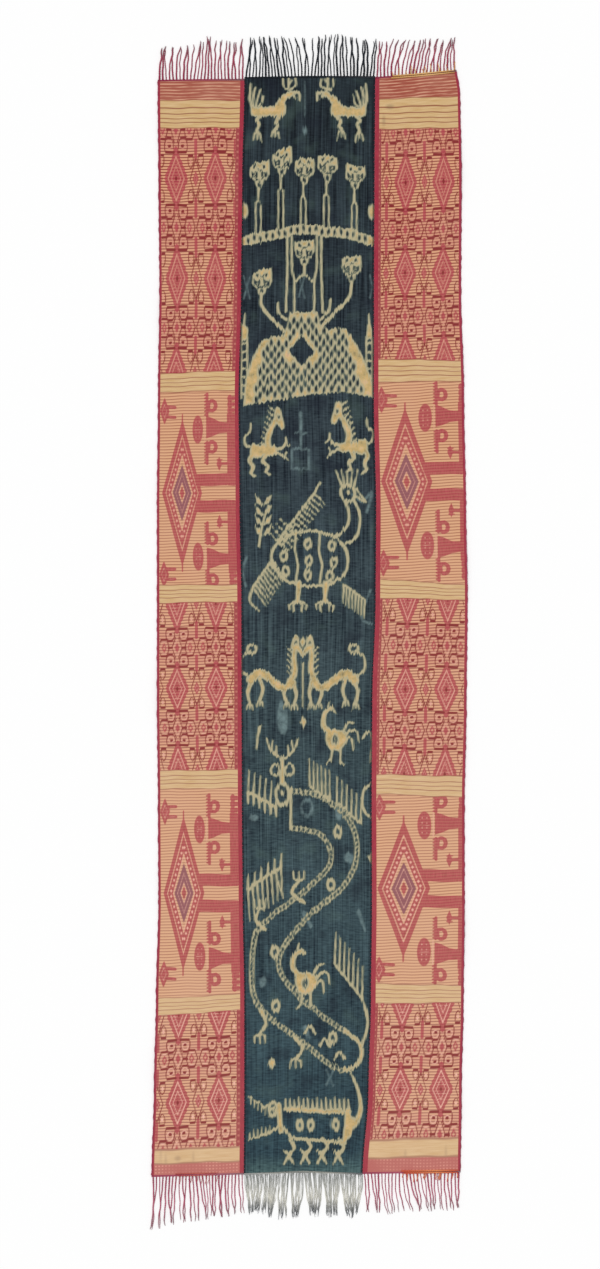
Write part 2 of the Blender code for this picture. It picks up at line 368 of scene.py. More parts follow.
class Sheet:
    """A panel's sheet while its pattern is worked out. Widths and lengths in millimetres."""

    def __init__(self, node, cells):
        self.node = node
        self.plan = Plan(node)
        bm = closed_sheet(cells)
        self.mesh = bpy.data.meshes.new(node + "_weave")
        bm.to_mesh(self.mesh)
        bm.free()
        unit = np.empty(len(self.mesh.vertices) * 3, dtype=np.float32)
        self.mesh.vertices.foreach_get("co", unit)
        unit = unit.reshape(-1, 3).astype(float)
        self.across = unit[:, 0]
        self.along = unit[:, 1]
        self.under = unit[:, 2] < -0.5
        x, y = self.plan.place(self.across, self.along)
        self.x = x / MM
        self.y = y / MM
        self.cells = cells
        self.raised = np.zeros(len(x))

    def finish(self, material):
        """Gives the sheet its lie, its maps and its material, and makes it a piece of the cloth."""
        height = self.plan.height(self.across, self.along) + self.raised * MM
        below = np.maximum(height - self.plan.thickness, 0.0)
        z = np.where(self.under, below, height)
        places = np.column_stack((self.x * MM, self.y * MM, z)).astype(np.float32)
        self.mesh.vertices.foreach_set("co", places.ravel())
        corner_verts = np.empty(len(self.mesh.loops), dtype=np.int32)
        self.mesh.loops.foreach_get("vertex_index", corner_verts)
        width = (self.plan.right[1].mean() - self.plan.left[1].mean())
        length = (self.plan.top[1].mean() - self.plan.bottom[1].mean())
        set_uv(self.mesh, "Weave", self.across[corner_verts] * width, self.along[corner_verts] * length)
        self.lay_out_map(corner_verts)
        self.mesh.shade_smooth()
        self.mesh.set_sharp_from_angle(angle=math.radians(60))
        self.mesh.materials.append(material)
        piece = bpy.data.objects.new(self.node + "_weave", self.mesh)
        bpy.context.scene.collection.objects.link(piece)
        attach(piece, BODY)
        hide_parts(self.node)
        return piece

    def lay_out_map(self, corner_verts):
        """The map that textures are baked to: the long face in strips side by side, then the underside."""
        strips = 4
        strip_width = 0.22
        gap = 0.004
        sizes = np.empty(len(self.mesh.polygons), dtype=np.int32)
        self.mesh.polygons.foreach_get("loop_total", sizes)
        face_of_corner = np.repeat(np.arange(len(sizes)), sizes)
        starts = np.concatenate(([0], np.cumsum(sizes)[:-1]))
        middle = np.add.reduceat(self.along[corner_verts], starts) / sizes
        covered = np.add.reduceat(self.under[corner_verts].astype(float), starts) / sizes > 0.4
        strip = np.minimum((middle * strips).astype(int), strips - 1)
        strip = strip[face_of_corner]
        across = self.across[corner_verts]
        along = self.along[corner_verts] * strips - strip
        u = gap + strip * (strip_width + gap) + across * strip_width
        v = gap + along * (1 - 2 * gap)
        under_start = gap + strips * (strip_width + gap)
        under_width = (1 - gap - under_start) / strips - gap
        under_u = under_start + strip * (under_width + gap) + across * under_width
        is_under = covered[face_of_corner]
        set_uv(self.mesh, "OFBake", np.where(is_under, under_u, u), v)


# Crimson panels: bands from the top end to the bottom end

# A band with its upper edge's height at the panel's left and right edges. The diamond bands have the
# distances of their cross bars below that edge, and the repeat's phase at the first of them.
Band = namedtuple("Band", "kind left right bars phase")
RED, CREAM, DIAMONDS, LOZENGE, PLAIN_CREAM, RED_GRID = range(6)
# Distances across a lozenge band from the lozenge's middle, as the chart draws them: past its outer side,
# its two tips, the upright, and past the upright. Each panel has its own.
LOZENGE_CHART = (-60.0, -39.5, 39.5, 90.0, 130.0)
SidePanel = namedtuple(
    "SidePanel",
    "node outer bands end columns lozenge_share lozenge_places lozenge_tallness lozenge_heights "
    "stripe border",
)
LEFT_PANEL = SidePanel(
    node="left_panel",
    outer=0.0,
    bands=(
        Band(RED, 1120.0, 1120.0, (), 0),
        Band(CREAM, 1063.5, 1063.5, (), 0),
        Band(DIAMONDS, 1007.0, 1008.3, (48.0, 154.0, 244.0, 358.0, 440.0), 144.0),
        Band(CREAM, 516.3, 522.9, (), 0),
        Band(LOZENGE, 478.5, 483.7, (), 0),
        Band(CREAM, 94.0, 94.0, (), 0),
        Band(DIAMONDS, 57.3, 60.7, (52.0, 127.0, 216.0, 285.0), 52.0),
        Band(CREAM, -277.7, -275.5, (), 0),
        Band(LOZENGE, -315.0, -312.3, (), 0),
        Band(CREAM, -733.7, -723.7, (), 0),
        Band(DIAMONDS, -768.5, -755.3, (52.0, 128.0, 226.0), 52.0),
        Band(PLAIN_CREAM, -1036.0, -1027.7, (), 0),
        Band(RED_GRID, -1065.5, -1059.0, (), 0),
    ),
    end=-1130.0,
    columns=((0.2055, 0.675), (0.269, 0.7226)),
    lozenge_share=0.304,
    lozenge_places=LOZENGE_CHART,
    lozenge_tallness=(1.0, 1.04),
    lozenge_heights=(277.7, -522.3),
    stripe=7.4,
    border=6.6,
)
RIGHT_PANEL = SidePanel(
    node="right_panel",
    outer=1.0,
    bands=(
        Band(RED, 1130.0, 1130.0, (), 0),
        Band(CREAM, 1065.7, 1072.0, (), 0),
        Band(DIAMONDS, 1005.0, 1008.0, (53.0, 161.5, 241.5, 336.0, 415.0), 144.0),
        Band(CREAM, 546.0, 542.3, (), 0),
        Band(LOZENGE, 499.0, 501.5, (), 0),
        Band(CREAM, 106.3, 93.3, (), 0),
        Band(DIAMONDS, 68.0, 63.7, (50.5, 135.0, 226.5, 299.0), 52.0),
        Band(CREAM, -284.7, -289.0, (), 0),
        Band(LOZENGE, -323.7, -331.0, (), 0),
        Band(CREAM, -703.3, -707.7, (), 0),
        Band(DIAMONDS, -743.7, -741.0, (48.0, 128.0, 217.0), 52.0),
        Band(PLAIN_CREAM, -1015.7, -1010.0, (), 0),
        Band(RED_GRID, -1054.7, -1049.0, (), 0),
    ),
    end=-1130.0,
    columns=((0.3586, 0.795), (0.3385, 0.776)),
    lozenge_share=0.343,
    lozenge_places=(-70.0, -46.6, 46.6, 96.0, 136.0),
    lozenge_tallness=(1.0, 0.92),
    lozenge_heights=(300.7, -513.3),
    stripe=8.0,
    border=4.4,
)
CREAM_LINES = (0.3, 0.5, 0.7)
TOP_CREAM_LINES = (0.29, 0.49, 0.66, 0.8)

# Stains on each panel: middle, half width and half height, on the cloth
STAINS = {
    "left_panel": ((-286, -1056, 1.5, 8), (-231, -1051, 1.5, 7), (-296, -1046, 1.3, 8), (-262, -1053, 6, 5)),
    "right_panel": ((193, -1044, 1.9, 6), (274, -1040, 1.7, 8), (162, 1050, 8, 5), (150, 1022, 3, 9)),
}


def repeat_phase(below, band):
    """Phase of the diamond repeat at distances below a band's upper edge."""
    distances = [band.bars[0] - 2 * DIAMOND_PERIOD]
    phases = [band.phase - 2 * DIAMOND_PERIOD]
    phase = band.phase
    for distance in band.bars:
        distances.append(distance)
        phases.append(phase)
        starts_diamond = (phase % DIAMOND_PERIOD) > DIAMOND_PERIOD / 2
        phase += BAR_TO_BAR[1] if starts_diamond else BAR_TO_BAR[0]
    distances.append(distances[-1] + 2 * DIAMOND_PERIOD)
    phases.append(phases[-1] + 2 * DIAMOND_PERIOD)
    return np.interp(below, distances, phases)


def folded(value, period):
    """Distance to the nearest multiple of a period."""
    return np.abs((value + period / 2) % period - period / 2)


def draw_block(pen, x, y, half_width, half_height):
    """An upright rectangle, as floats over a few warp threads make it."""
    pen.shape([
        (x - half_width, y - half_height), (x + half_width, y - half_height),
        (x + half_width, y + half_height), (x - half_width, y + half_height),
    ])


def draw_diamond_repeat(crimson, light, dark):
    """One quarter of the diamond repeat.

    X is the distance from a column of diamonds, and Y the distance from a diamond's middle.
    """
    # Nested diamond
    crimson.shape([
        (-2, -2), (26, -2), (21, 4), (23, 7), (17, 15), (18.5, 19), (12.5, 28), (13.5, 31), (8, 40),
        (8.5, 43), (4, 52), (-2, 58),
    ])
    light.diamond_line(0, 0, 16, 44, 2.9)
    light.diamond_line(0, 0, 9, 25, 2.2)
    for number in range(6):
        y = 4.0 + 6.2 * number
        light.line([(1.5, y), (max(12 * (1 - y / 40), 2), y)], 1.6)
    dark.diamond(0, 0, 2.6, 7)
    # Cross bars
    crimson.shape([(-2, 46), (5, 46), (6, 52), (4.5, 60), (-2, 68)])
    draw_block(dark, 12.0, 52.2, 9.6, 2.9)
    # Curled hooks under the cross bars
    dark.curve([(5, 60), (5, 69), (8, 78), (14, 81), (20, 76), (22.5, 66), (22, 55)], 2.1)
    light.ring(13.5, 68, 5.6, 8.0, 2.4)
    draw_block(dark, 12.6, 64.0, 3.0, 3.6)
    draw_block(dark, 13.6, 81.0, 5.2, 2.6)
    draw_block(dark, 13.6, 98, 5.6, 2.6)
    # Lozenge in line with the diamonds, between crimson zigzags
    light.diamond_line(0, 98, 7.6, 19, 2.2)
    crimson.diamond(0, 98, 4.6, 12)
    dark.line([(2.6, 72), (9, 94)], 2.0)
    # Six-sided frames with a small lozenge
    dark.line([(20.5, 78), (15.5, 98)], 2.1)
    dark.line([(32.5, 78), (37.5, 98)], 2.1)
    draw_block(dark, 26.6, 77.6, 6.4, 2.6)
    light.shape([(22.5, 81.5), (30.5, 81.5), (34, 98), (30.5, 114), (22.5, 114), (18.5, 98)])
    light.eraser().shape([(23.0, 85), (30.0, 85), (32.4, 98), (30.0, 111), (23.0, 111), (20.2, 98)])
    crimson.diamond_line(26, 98, 3.8, 9.5, 2.6)
    # The narrow column between the diamonds
    crimson.line([(39.2, 40), (39.2, 76)], 6.0)
    dark.diamond_line(39.2, 0, 11, 38, 2.0)
    crimson.diamond(39.2, 0, 6.0, 16)
    light.diamond_line(39.2, 0, 3.0, 8, 1.6)
    dark.curve([(34.0, 43), (34.6, 32), (29.6, 21), (24.6, 29), (23.8, 41)], 2.0)
    light.diamond(29.2, 33, 3.0, 7)
    draw_block(dark, 29, 45.4, 5.4, 2.6)


def draw_lozenge_band(crimson, light, mauve, tall):
    """The upper half of a lozenge band. X is the distance from the lozenge's middle, Y the height over it.

    Tall is how high the lozenge stands against the usual.
    """
    # Nested lozenge, with a row of dots on its second ring
    crimson.diamond(0, 0, 39.5, 148 * tall)
    crimson.line([(0, 130 * tall), (0, 158 * tall)], 3.4, 2.4)
    crimson.eraser().diamond(0, 0, 32.5, 117 * tall)
    light.diamond_line(0, 0, 32, 115 * tall, 1.9)
    crimson.diamond(0, 0, 30.8, 110 * tall)
    for number in range(9):
        share = (number + 0.5) / 9
        for side in (-1, 1):
            light.diamond(side * 26.2 * share, 92 * tall * (1 - share), 2.9, 4.4)
    crimson.eraser().diamond(0, 0, 21.5, 78 * tall)
    light.diamond_line(0, 0, 20.5, 72 * tall, 2.2)
    mauve.diamond(0, 0, 18.5, 57 * tall)
    mauve.eraser().diamond(0, 0, 7, 21)
    light.diamond_line(0, 0, 12.6, 39, 1.8)
    light.diamond_line(0, 0, 6.6, 20, 1.8)
    crimson.diamond(0, 0, 4.6, 14)
    # Bars to the panel's seam and the upright at its end
    crimson.shape([(26, 14), (90, 14), (90, 38.5), (24, 38.5)])
    crimson.shape([(90, 14), (114, 14), (114, 160), (90, 160)])
    # Comb, body, head and curled arms of the crowned figure
    for low, high in ((58, 101), (153, 198)):
        crimson.line([(50, low), (50, high)], 5.4)
        for number in range(7):
            y = low + (number + 0.4) * (high - low) / 6.8
            crimson.shape([(48.5, y - 2.6), (43.5, y - 1.2), (43.5, y + 1.2), (48.5, y + 2.6)])
    light.line([(45, 104), (45, 152)], 2.2)
    crimson.shape([(48, 108), (60, 112), (74, 119), (92, 121), (92, 141), (74, 143), (60, 149), (48, 153)])
    for y in (174.0, 92.0):
        crimson.shape([
            (50, y - 13), (62, y - 14), (69, y - 9), (71.5, y),
            (69, y + 9), (62, y + 13), (57, y + 13), (50, y + 7),
        ])
        crimson.eraser().shape([(56, y - 6), (61, y - 7), (64, y - 1), (62, y + 5), (57, y + 5)])
        light.line([(57, y), (62, y)], 2.6)
    crimson.oval(31, 127, 10.5, 28)
    for y in (112, 122, 132, 142):
        light.diamond(27.5, y, 1.7, 2.8)
        light.diamond(34.5, y, 1.7, 2.8)
    light.line([(24, 127), (38, 127)], 1.6)
    # Hooked bits beside the seam
    for y in (166.0, 178.0, 190.0):
        crimson.shape([(91, y - 4.4), (114, y - 4.4), (114, y + 4.4), (91, y + 4.4)])
    crimson.line([(96, 160), (96, 194)], 7.0)
    light.line([(101, 172), (112, 172)], 2.4)
    # Small bird on the bar
    crimson.diamond(74, 58, 5.6, 15)
    crimson.line([(74, 58), (90, 58)], 5.6)
    crimson.line([(70, 66), (80, 66)], 3.4, 2.6)
    # Small lozenge with two legs at the outer side
    crimson.diamond(-36, 163, 10, 28)
    light.diamond_line(-36, 163, 4.6, 14, 1.6)
    for y in (152.0, 172.0):
        crimson.line([(-30, y), (-15, y)], 7.0, 6.4)
        light.line([(-26, y), (-17, y)], 1.4)


def line_coordinate(y, upper, lower, shares):
    """Rises by one from each line of a band to the next, so that the lines lie at its whole numbers."""
    below = (upper - y) / (upper - lower)
    marks = (-1.0, 0.0, *shares, 1.0, 2.0)
    return np.interp(below, marks, np.arange(len(marks)))


def draw_side_panel(panel):
    """Works out a crimson panel's pattern, and gives its sheet."""
    sheet = Sheet(panel.node, SIDE_CELLS)
    x = sheet.across * PANEL_WIDTH
    y = sheet.y + waver(sheet, 0.7)
    from_outer = np.abs(sheet.across - panel.outer) * PANEL_WIDTH
    from_seam = PANEL_WIDTH - from_outer
    count = len(x)
    layers = {
        name: np.zeros(count)
        for name in ("crimson", "light", "dark", "cream", "red", "dotted", "bare", "wash", "mauve", "grid")
    }
    lines = np.full(count, 0.5)

    def lay(name, part, cover):
        layers[name][part] = np.maximum(layers[name][part], cover)

    for number, band in enumerate(panel.bands):
        upper = mix(band.left, band.right, sheet.across)
        if number + 1 < len(panel.bands):
            after = panel.bands[number + 1]
            lower = mix(after.left, after.right, sheet.across)
        else:
            lower = np.full(count, panel.end)
        depth = np.minimum(upper - y, y - lower)
        part = depth > -3.0
        inside = np.clip(0.5 + depth[part] / 2.4, 0.0, 1.0)
        if band.kind in (RED, RED_GRID):
            lay("red", part, inside)
            if band.kind == RED_GRID:
                lay("grid", part, inside)
        elif band.kind in (CREAM, PLAIN_CREAM):
            lay("cream", part, inside)
            shares = {CREAM: TOP_CREAM_LINES if number == 1 else CREAM_LINES, PLAIN_CREAM: ()}[band.kind]
            lines[part] = line_coordinate(y[part], upper[part], lower[part], shares)
        elif band.kind == DIAMONDS:
            columns = [mix(*ends, 1 - sheet.along[part]) * PANEL_WIDTH for ends in zip(*panel.columns)]
            pitch = columns[1] - columns[0]
            side_step = folded(x[part] - columns[0], pitch) * COLUMN_PITCH / pitch
            height = folded(repeat_phase((upper - y)[part], band), DIAMOND_PERIOD)
            drawings = [Drawing(side_step, height) for _ in range(3)]
            draw_diamond_repeat(*(Pen(drawing) for drawing in drawings))
            for name, drawing in zip(("crimson", "light", "dark"), drawings):
                lay(name, part, drawing.cover(SOFTNESS) * inside)
            lay("dotted", part, inside)
            lay("wash", part, inside * np.clip((height - CROSS_BAR) / 8, 0, 1))
        elif band.kind == LOZENGE:
            place = [earlier.kind for earlier in panel.bands[:number]].count(LOZENGE)
            middle = panel.lozenge_heights[place]
            from_lozenge = x[part] - panel.lozenge_share * PANEL_WIDTH
            side_step = np.interp(from_lozenge, panel.lozenge_places, LOZENGE_CHART)
            drawings = [Drawing(side_step, np.abs(y[part] - middle)) for _ in range(3)]
            draw_lozenge_band(*(Pen(drawing) for drawing in drawings), panel.lozenge_tallness[place])
            for name, drawing in zip(("crimson", "light", "mauve"), drawings):
                lay(name, part, drawing.cover(SOFTNESS) * inside)
            lay("bare", part, inside)
    marks = Drawing(sheet.x, sheet.y)
    for stain in STAINS[panel.node]:
        Pen(marks).oval(*stain)
    selvedge = np.clip(0.5 + (SELVEDGE_WIDTH - from_outer) / 2.0, 0.0, 1.0)
    seam = np.clip(0.5 + (panel.stripe - from_seam) / 2.0, 0.0, 1.0)
    border = np.clip(0.5 + (panel.stripe + panel.border - from_seam) / 2.0, 0.0, 1.0)
    solid = np.maximum(selvedge, seam)
    dotted = layers["dotted"] * np.clip(border - seam, 0.0, 1.0)
    edge = np.maximum(solid, dotted)
    for name in ("crimson", "light", "dark", "cream", "red", "mauve", "wash"):
        layers[name] *= 1 - edge
    floats = np.maximum(np.maximum(layers["crimson"], layers["dark"]), edge)
    face = ~sheet.under
    sheet.raised = FLOAT_HEIGHT * floats * face + pucker(sheet, from_seam)
    woven = [layers[name] * face for name in ("crimson", "light", "dark")]
    set_attribute(sheet.mesh, "pattern", *woven)
    set_attribute(sheet.mesh, "ground", layers["cream"], layers["red"], solid)
    set_attribute(sheet.mesh, "trim", dotted * face, lines, layers["bare"])
    set_attribute(sheet.mesh, "tone", layers["wash"], layers["mauve"] * face, layers["grid"])
    set_attribute(sheet.mesh, "stain", marks.cover(SOFTNESS), np.zeros(count), np.zeros(count))
    return sheet


def waver(sheet, height):
    """The weft's gentle rise and fall from selvedge to selvedge, in millimetres."""
    return height * (
        np.sin(sheet.across * 9.0 + sheet.y / 83.0)
        + 0.6 * np.sin(sheet.across * 21.0 - sheet.y / 47.0)
    )


def pucker(sheet, from_seam):
    """Small drawn-up waves beside a seam, in millimetres."""
    near = smooth(1 - from_seam / PUCKER_REACH)
    wave = 0.5 + 0.5 * np.sin(2 * np.pi * sheet.y / PUCKER_PITCH + 2.0 * np.sin(sheet.y / 71.0))
    return PUCKER_HEIGHT * near * wave


# Centre panel: figures, from the top end to the bottom end

def draw_claws(pen, x, y, spread=8.0, length=17.0):
    """Three bent claws that hang from a leg's end."""
    for side, reach in ((-1, 0.92), (0, 0.78), (1, 1.0)):
        bend = (x + side * spread * 0.75, y - length * 0.42)
        pen.line([(x, y), bend, (x + side * spread, y - length * reach)], 5.0, 3.6)


def draw_deer(pen):
    """A stag that faces right: a long back, an upright neck, branched antlers and a combed tail."""
    pen.blob([
        (-33, 12), (-20, 8), (0, 9), (14, 13), (24, 24), (32, 22), (37, 6), (32, -10), (10, -11), (-20, -12),
        (-34, -8),
    ])
    pen.curve([(24, 14), (34, 27), (47, 35)], 15, 11)
    pen.curve([(44, 35), (56, 36), (63, 34), (63, 20)], 8, 5)
    pen.line([(50, 34), (55, 24)], 5.5, 4)
    pen.curve([(46, 36), (42, 50), (42, 70)], 6.0, 4.6)
    pen.curve([(44, 42), (32, 48), (31, 62)], 5.4, 4.4)
    pen.curve([(46, 44), (56, 50), (55, 64)], 5.4, 4.4)
    pen.line([(43, 54), (48, 62)], 4.6, 4)
    pen.curve([(-31, 6), (-36, 24), (-34, 54)], 7, 4.4)
    pen.curve([(-29, 8), (-30, 24), (-25, 48)], 5.6, 4.4)
    pen.curve([(-24, 9), (-22, 20), (-15, 40)], 5.6, 4.4)
    pen.curve([(-18, 10), (-12, 16), (-9, 30)], 5.4, 4.2)
    pen.curve([(-12, -8), (-22, -18), (-17, -26), (-22, -38)], 8, 6)
    draw_claws(pen, -21, -38, 8, 22)
    pen.curve([(26, -8), (16, -22), (20, -30), (14, -36)], 8, 6)
    draw_claws(pen, 15, -36, 8, 20)


def draw_skull(pen, lean=0.0):
    """A trophy skull: flat crown, hollow eyes and a small jaw. From the middle of its face."""
    pen.shape([
        (-19, 16 - lean), (-8, 21), (20, 22 + lean), (21, -3), (14, -13), (9, -16), (8, -24), (3, -31),
        (-3, -31), (-8, -24), (-9, -16), (-14, -13), (-20, -4),
    ])
    hollow = pen.eraser()
    for side in (-1, 1):
        eye = ((15, 3), (10, -1), (4, 2), (4, -8), (9, -10), (15, -6))
        hollow.blob([(side * x, y) for x, y in eye])
        hollow.oval(side * 9, 12, 2.6, 3.0)
    hollow.oval(0, -22, 3.2, 4.6)
    hollow.line([(-7, -13), (7, -13)], 2.6)
    hollow.line([(-2, 8), (3, 7)], 2.8)
    pen.oval(-9, -5, 2.0, 2.2)
    pen.oval(9, -5, 2.0, 2.2)


def draw_stalk(pen, top, fork, foot, spread=5.0):
    """A stalk that forks into two below."""
    pen.line([(0, top), (0, fork)], 5.0)
    for side in (-1, 1):
        pen.line([(0, fork + 3), (side * spread, fork - 5), (side * spread, foot)], 4.0)


def hollow_along(pen, path, pitch, half_width, half_height, stagger=0.0):
    """Open beads along the middle of a path."""
    hollow = pen.eraser()
    steps = np.array(path)
    lengths = np.concatenate(([0.0], np.cumsum(np.hypot(*np.diff(steps, axis=0).T))))
    for number in range(int(lengths[-1] / pitch)):
        at = (number + 0.5) * pitch
        x = np.interp(at, lengths, steps[:, 0])
        y = np.interp(at, lengths, steps[:, 1])
        hollow.oval(x, y + (stagger if number % 2 else -stagger), half_width, half_height)


def draw_beaded_branch(pen, points, width):
    """A bough drawn as a chain of beads with open middles."""
    path = smooth_through(points)
    pen.line(path, width)
    hollow_along(pen, path, 12.6, 2.7, 5.4, stagger=1.5)


def draw_skull_tree(pen):
    """The trophy tree: five skulls on stalks over a beaded bough, and a trunk on a netted mound."""
    heads = ((-99, 918, 3.0), (-54, 942, 7.0), (-9, 926, 0.0), (37, 932, -3.0), (93, 914, -6.0))
    for x, y, lean in heads:
        draw_skull(Pen(pen.drawing, x, y), lean)
        draw_stalk(Pen(pen.drawing, x - 2, 0), y - 28, y - 56, 800)
    branch = [
        (-127, 780), (-95, 790), (-60, 796), (-30, 803), (0, 806), (30, 800), (70, 798), (98, 790),
        (127, 780),
    ]
    draw_beaded_branch(pen, branch, 21)
    for side in (-1, 1):
        x = -9 + side * 34
        pen.line([(x, 790), (x, 716), (x + side * 3, 640)], 5.2)
        x = -9 + side * 25
        pen.line([(x, 790), (x, 726), (x - side * 5, 706), (x - side * 5, 640)], 5.0)
        pen.line([(-9 + side * 5, 712), (x - side * 8, 700)], 4.6)
    draw_skull(Pen(pen.drawing, -9, 762))
    pen.line([(-9, 734), (-9, 712)], 6.0)
    draw_skull(Pen(pen.drawing, -94, 702), 4)
    draw_skull(Pen(pen.drawing, 85, 730))
    pen.curve([(-94, 676), (-95, 655), (-78, 630), (-50, 604)], 6.2, 8)
    pen.curve([(86, 700), (80, 668), (54, 642), (26, 610)], 6.2, 8)
    pen.curve([(-62, 658), (-60, 638), (-44, 624)], 5, 6)
    pen.curve([(43, 664), (40, 643), (24, 626)], 5, 6)
    for x, y in ((-129, 842), (127, 840)):
        pen.oval(x, y, 9, 16)


def draw_mound(pen):
    """The netted mound, with a solid border, staggered open meshes and a dark lozenge."""
    outline = [
        (-38, 640), (18, 640), (24, 612), (40, 604), (64, 610), (78, 602), (97, 574), (114, 536), (127, 500),
        (130, 468), (80, 479), (20, 476), (-40, 467), (-90, 458), (-131, 452), (-127, 506), (-113, 548),
        (-96, 580), (-77, 590), (-52, 594), (-44, 612),
    ]
    pen.shape(outline)
    hollow = pen.eraser()
    meshes = np.array([
        (column * 15.0 + (row % 2) * 7.5, 463 + row * 11.4)
        for row in range(16) for column in range(-9, 10)
    ])
    deep = depth_in_shape(meshes[:, 0], meshes[:, 1], outline)
    net = [(-40, 650), (20, 650), (74, 590), (116, 452), (-116, 452), (-84, 580)]
    slanted = depth_in_shape(meshes[:, 0], meshes[:, 1], net)
    clear = np.hypot((meshes[:, 0] + 14) / 32, (meshes[:, 1] - 561) / 31) > 1
    for x, y in meshes[(deep > 6.5) & (slanted > -1) & clear]:
        hollow.oval(x, y, 3.1, 6.6)
    hollow.blob([(-14, 589), (-1, 574), (10, 561), (-1, 548), (-14, 532), (-28, 548), (-39, 561), (-27, 575)])
    for side, foot in ((-1, 466), (1, 482)):
        inner, outer = side * 119 - 4, side * 131 - 4
        pen.line([(inner, 590), (inner, foot)], 4.4)
        pen.line([(outer, 590), (outer, foot)], 4.4)
        for y in range(int(foot) + 10, 590, 17):
            pen.line([(inner, y), (outer, y)], 5.0)
        pen.blob([(inner, 586), (outer, 586), (outer - 1, 604), (outer - 6, 622), (inner + 1, 608)])
        pen.line([(side * 126 - 4, 600), (side * 124 - 4, 634)], 5.5, 4)


def draw_horse(pen):
    """A rearing horse that faces right, with a spiked mane, raised forelegs and a swept tail."""
    pen.blob([(-34, 12), (-18, 10), (4, 8), (16, 4), (14, -12), (-8, -12), (-26, -18), (-38, -8)])
    pen.curve([(0, 2), (-2, 24), (8, 48), (16, 62)], 14, 10)
    pen.blob([(10, 70), (14, 84), (22, 84), (28, 66), (32, 46), (26, 40), (18, 50), (12, 56)])
    for number in range(8):
        share = number / 7
        x, y = mix(-8, 10, share), mix(6, 78, share)
        pen.line([(x, y), (x - 9, y + 8)], 4.6, 3.4)
    pen.curve([(12, 0), (24, 2), (34, 12), (34, 24)], 7.5, 4.6)
    pen.curve([(12, -6), (24, -10), (38, -20)], 7.5, 4.6)
    pen.line([(34, 12), (42, 8)], 5, 4)
    pen.line([(31, -14), (36, -5)], 5, 4)
    pen.curve([(-30, -6), (-38, -20), (-32, -34), (-36, -46)], 11, 7)
    pen.curve([(-4, -8), (-12, -22), (-2, -32), (-6, -44)], 9, 6)
    pen.line([(-36, -46), (-27, -54)], 7, 5)
    pen.line([(-6, -44), (2, -50)], 7, 5)
    pen.curve([(-34, 6), (-46, 10), (-48, 26), (-38, 36), (-36, 52)], 6, 4.4)
    pen.eraser().oval(20, 66, 2.2, 3.0)


def draw_comb(pen, start, end, tooth, teeth, width=4.4):
    """A row of long teeth on a spine, like the crests and tails of the beasts."""
    pen.line([start, end], width)
    for number in range(teeth):
        share = number / (teeth - 1)
        x = mix(start[0], end[0], share)
        y = mix(start[1], end[1], share)
        pen.line([(x, y), (x + tooth[0], y + tooth[1])], width * 0.95, width * 0.6)


def draw_spotted_bird(pen):
    """A large crested bird beast that faces right: a spotted body, comb crest, comb tail, two legs."""
    outline = smooth_through([
        (-78, -8), (-66, 30), (-20, 52), (40, 46), (72, 10), (66, -34), (20, -56), (-44, -48)
    ], closed=True)
    pen.line(outline + outline[:1], 6.4)
    for x in (-30.0, 18.0):
        pen.line([(x, 48), (x - 2, 14), (x + 5, -14), (x, -50)], 5.4)
    for x, y in ((-54, 4), (-6, 28), (-4, -6), (-6, -34), (42, 24), (46, -10), (38, -36), (-50, -26)):
        pen.ring(x, y, 6.0, 8.6, 5.6)
    # Neck, head and beak
    pen.curve([(66, 24), (92, 44), (98, 86), (84, 120)], 6.2)
    pen.curve([(50, 42), (72, 62), (76, 92), (68, 114)], 6.2)
    pen.ring(74, 130, 14, 16, 6.4)
    pen.oval(75, 131, 4.0, 5.0)
    pen.line([(88, 124), (110, 112), (90, 140)], 6.0, 4.4)
    for number in range(5):
        pen.line([(62 + number * 6, 143), (50 + number * 11, 174)], 5.2, 3.6)
    # Crest along the back in two rows, tail comb and legs
    draw_comb(pen, (-66, 34), (6, 128), (22, -20), 13, 5.6)
    draw_comb(pen, (-58, 24), (-36, 52), (-26, 26), 4, 5.0)
    pen.line([(6, 128), (20, 152)], 6.4, 4.0)
    draw_comb(pen, (-78, -4), (-116, -60), (26, -36), 9, 5.6)
    pen.curve([(-116, -60), (-122, -86), (-104, -106)], 6.2, 4.6)
    for x in (-24.0, 30.0):
        pen.line([(x, -50), (x - 2, -86)], 12.0, 9.0)
        for side in (-2, -1, 1, 2):
            tip = (x - 2 + side * 8, -110 + abs(side) * 4)
            pen.line([(x - 2, -84), (x - 2 + side * 9, -94), tip], 5.6, 4.2)
    draw_comb(pen, (66, -52), (108, -84), (-2, -38), 8, 5.2)
    # A leafy branch over the tail
    pen.curve([(-104, 24), (-96, 70), (-84, 104)], 5.6, 4.6)
    for number in range(4):
        y = 44 + number * 20
        for side in (-1, 1):
            leaf = ((0, 0), (12, 6), (17, 22), (7, 14))
            pen.blob([(-95 + side * out, y + up) for out, up in leaf])


def draw_long_necked_beast(pen):
    """A four-legged beast that faces right, with a maned upright neck and a tail that ends in a tuft."""
    pen.curve([(-64, -4), (-46, 10), (-20, -6), (0, -20), (20, -8)], 19, 15)
    pen.curve([(14, -8), (24, 14), (22, 44), (26, 64)], 14, 9)
    pen.blob([(16, 60), (22, 84), (32, 82), (34, 66), (44, 48), (38, 42), (30, 52)])
    pen.eraser().oval(26, 70, 2.2, 3.0)
    for number in range(5):
        y = 4 + number * 12
        pen.line([(20, y), (9, y + 8)], 5.2, 3.6)
    pen.curve([(-62, 2), (-82, 14), (-82, 40), (-64, 54)], 6.0, 5.0)
    pen.ring(-62, 58, 9, 9, 6.0)
    for points in (
        [(-60, -4), (-70, -26), (-66, -50)], [(-46, -2), (-40, -24), (-46, -44)],
        [(10, -14), (2, -30), (8, -48)], [(22, -12), (27, -32), (23, -50)],
    ):
        pen.curve(points, 9, 6.4)
        draw_claws(pen, *points[-1], 6.4, 14.0)


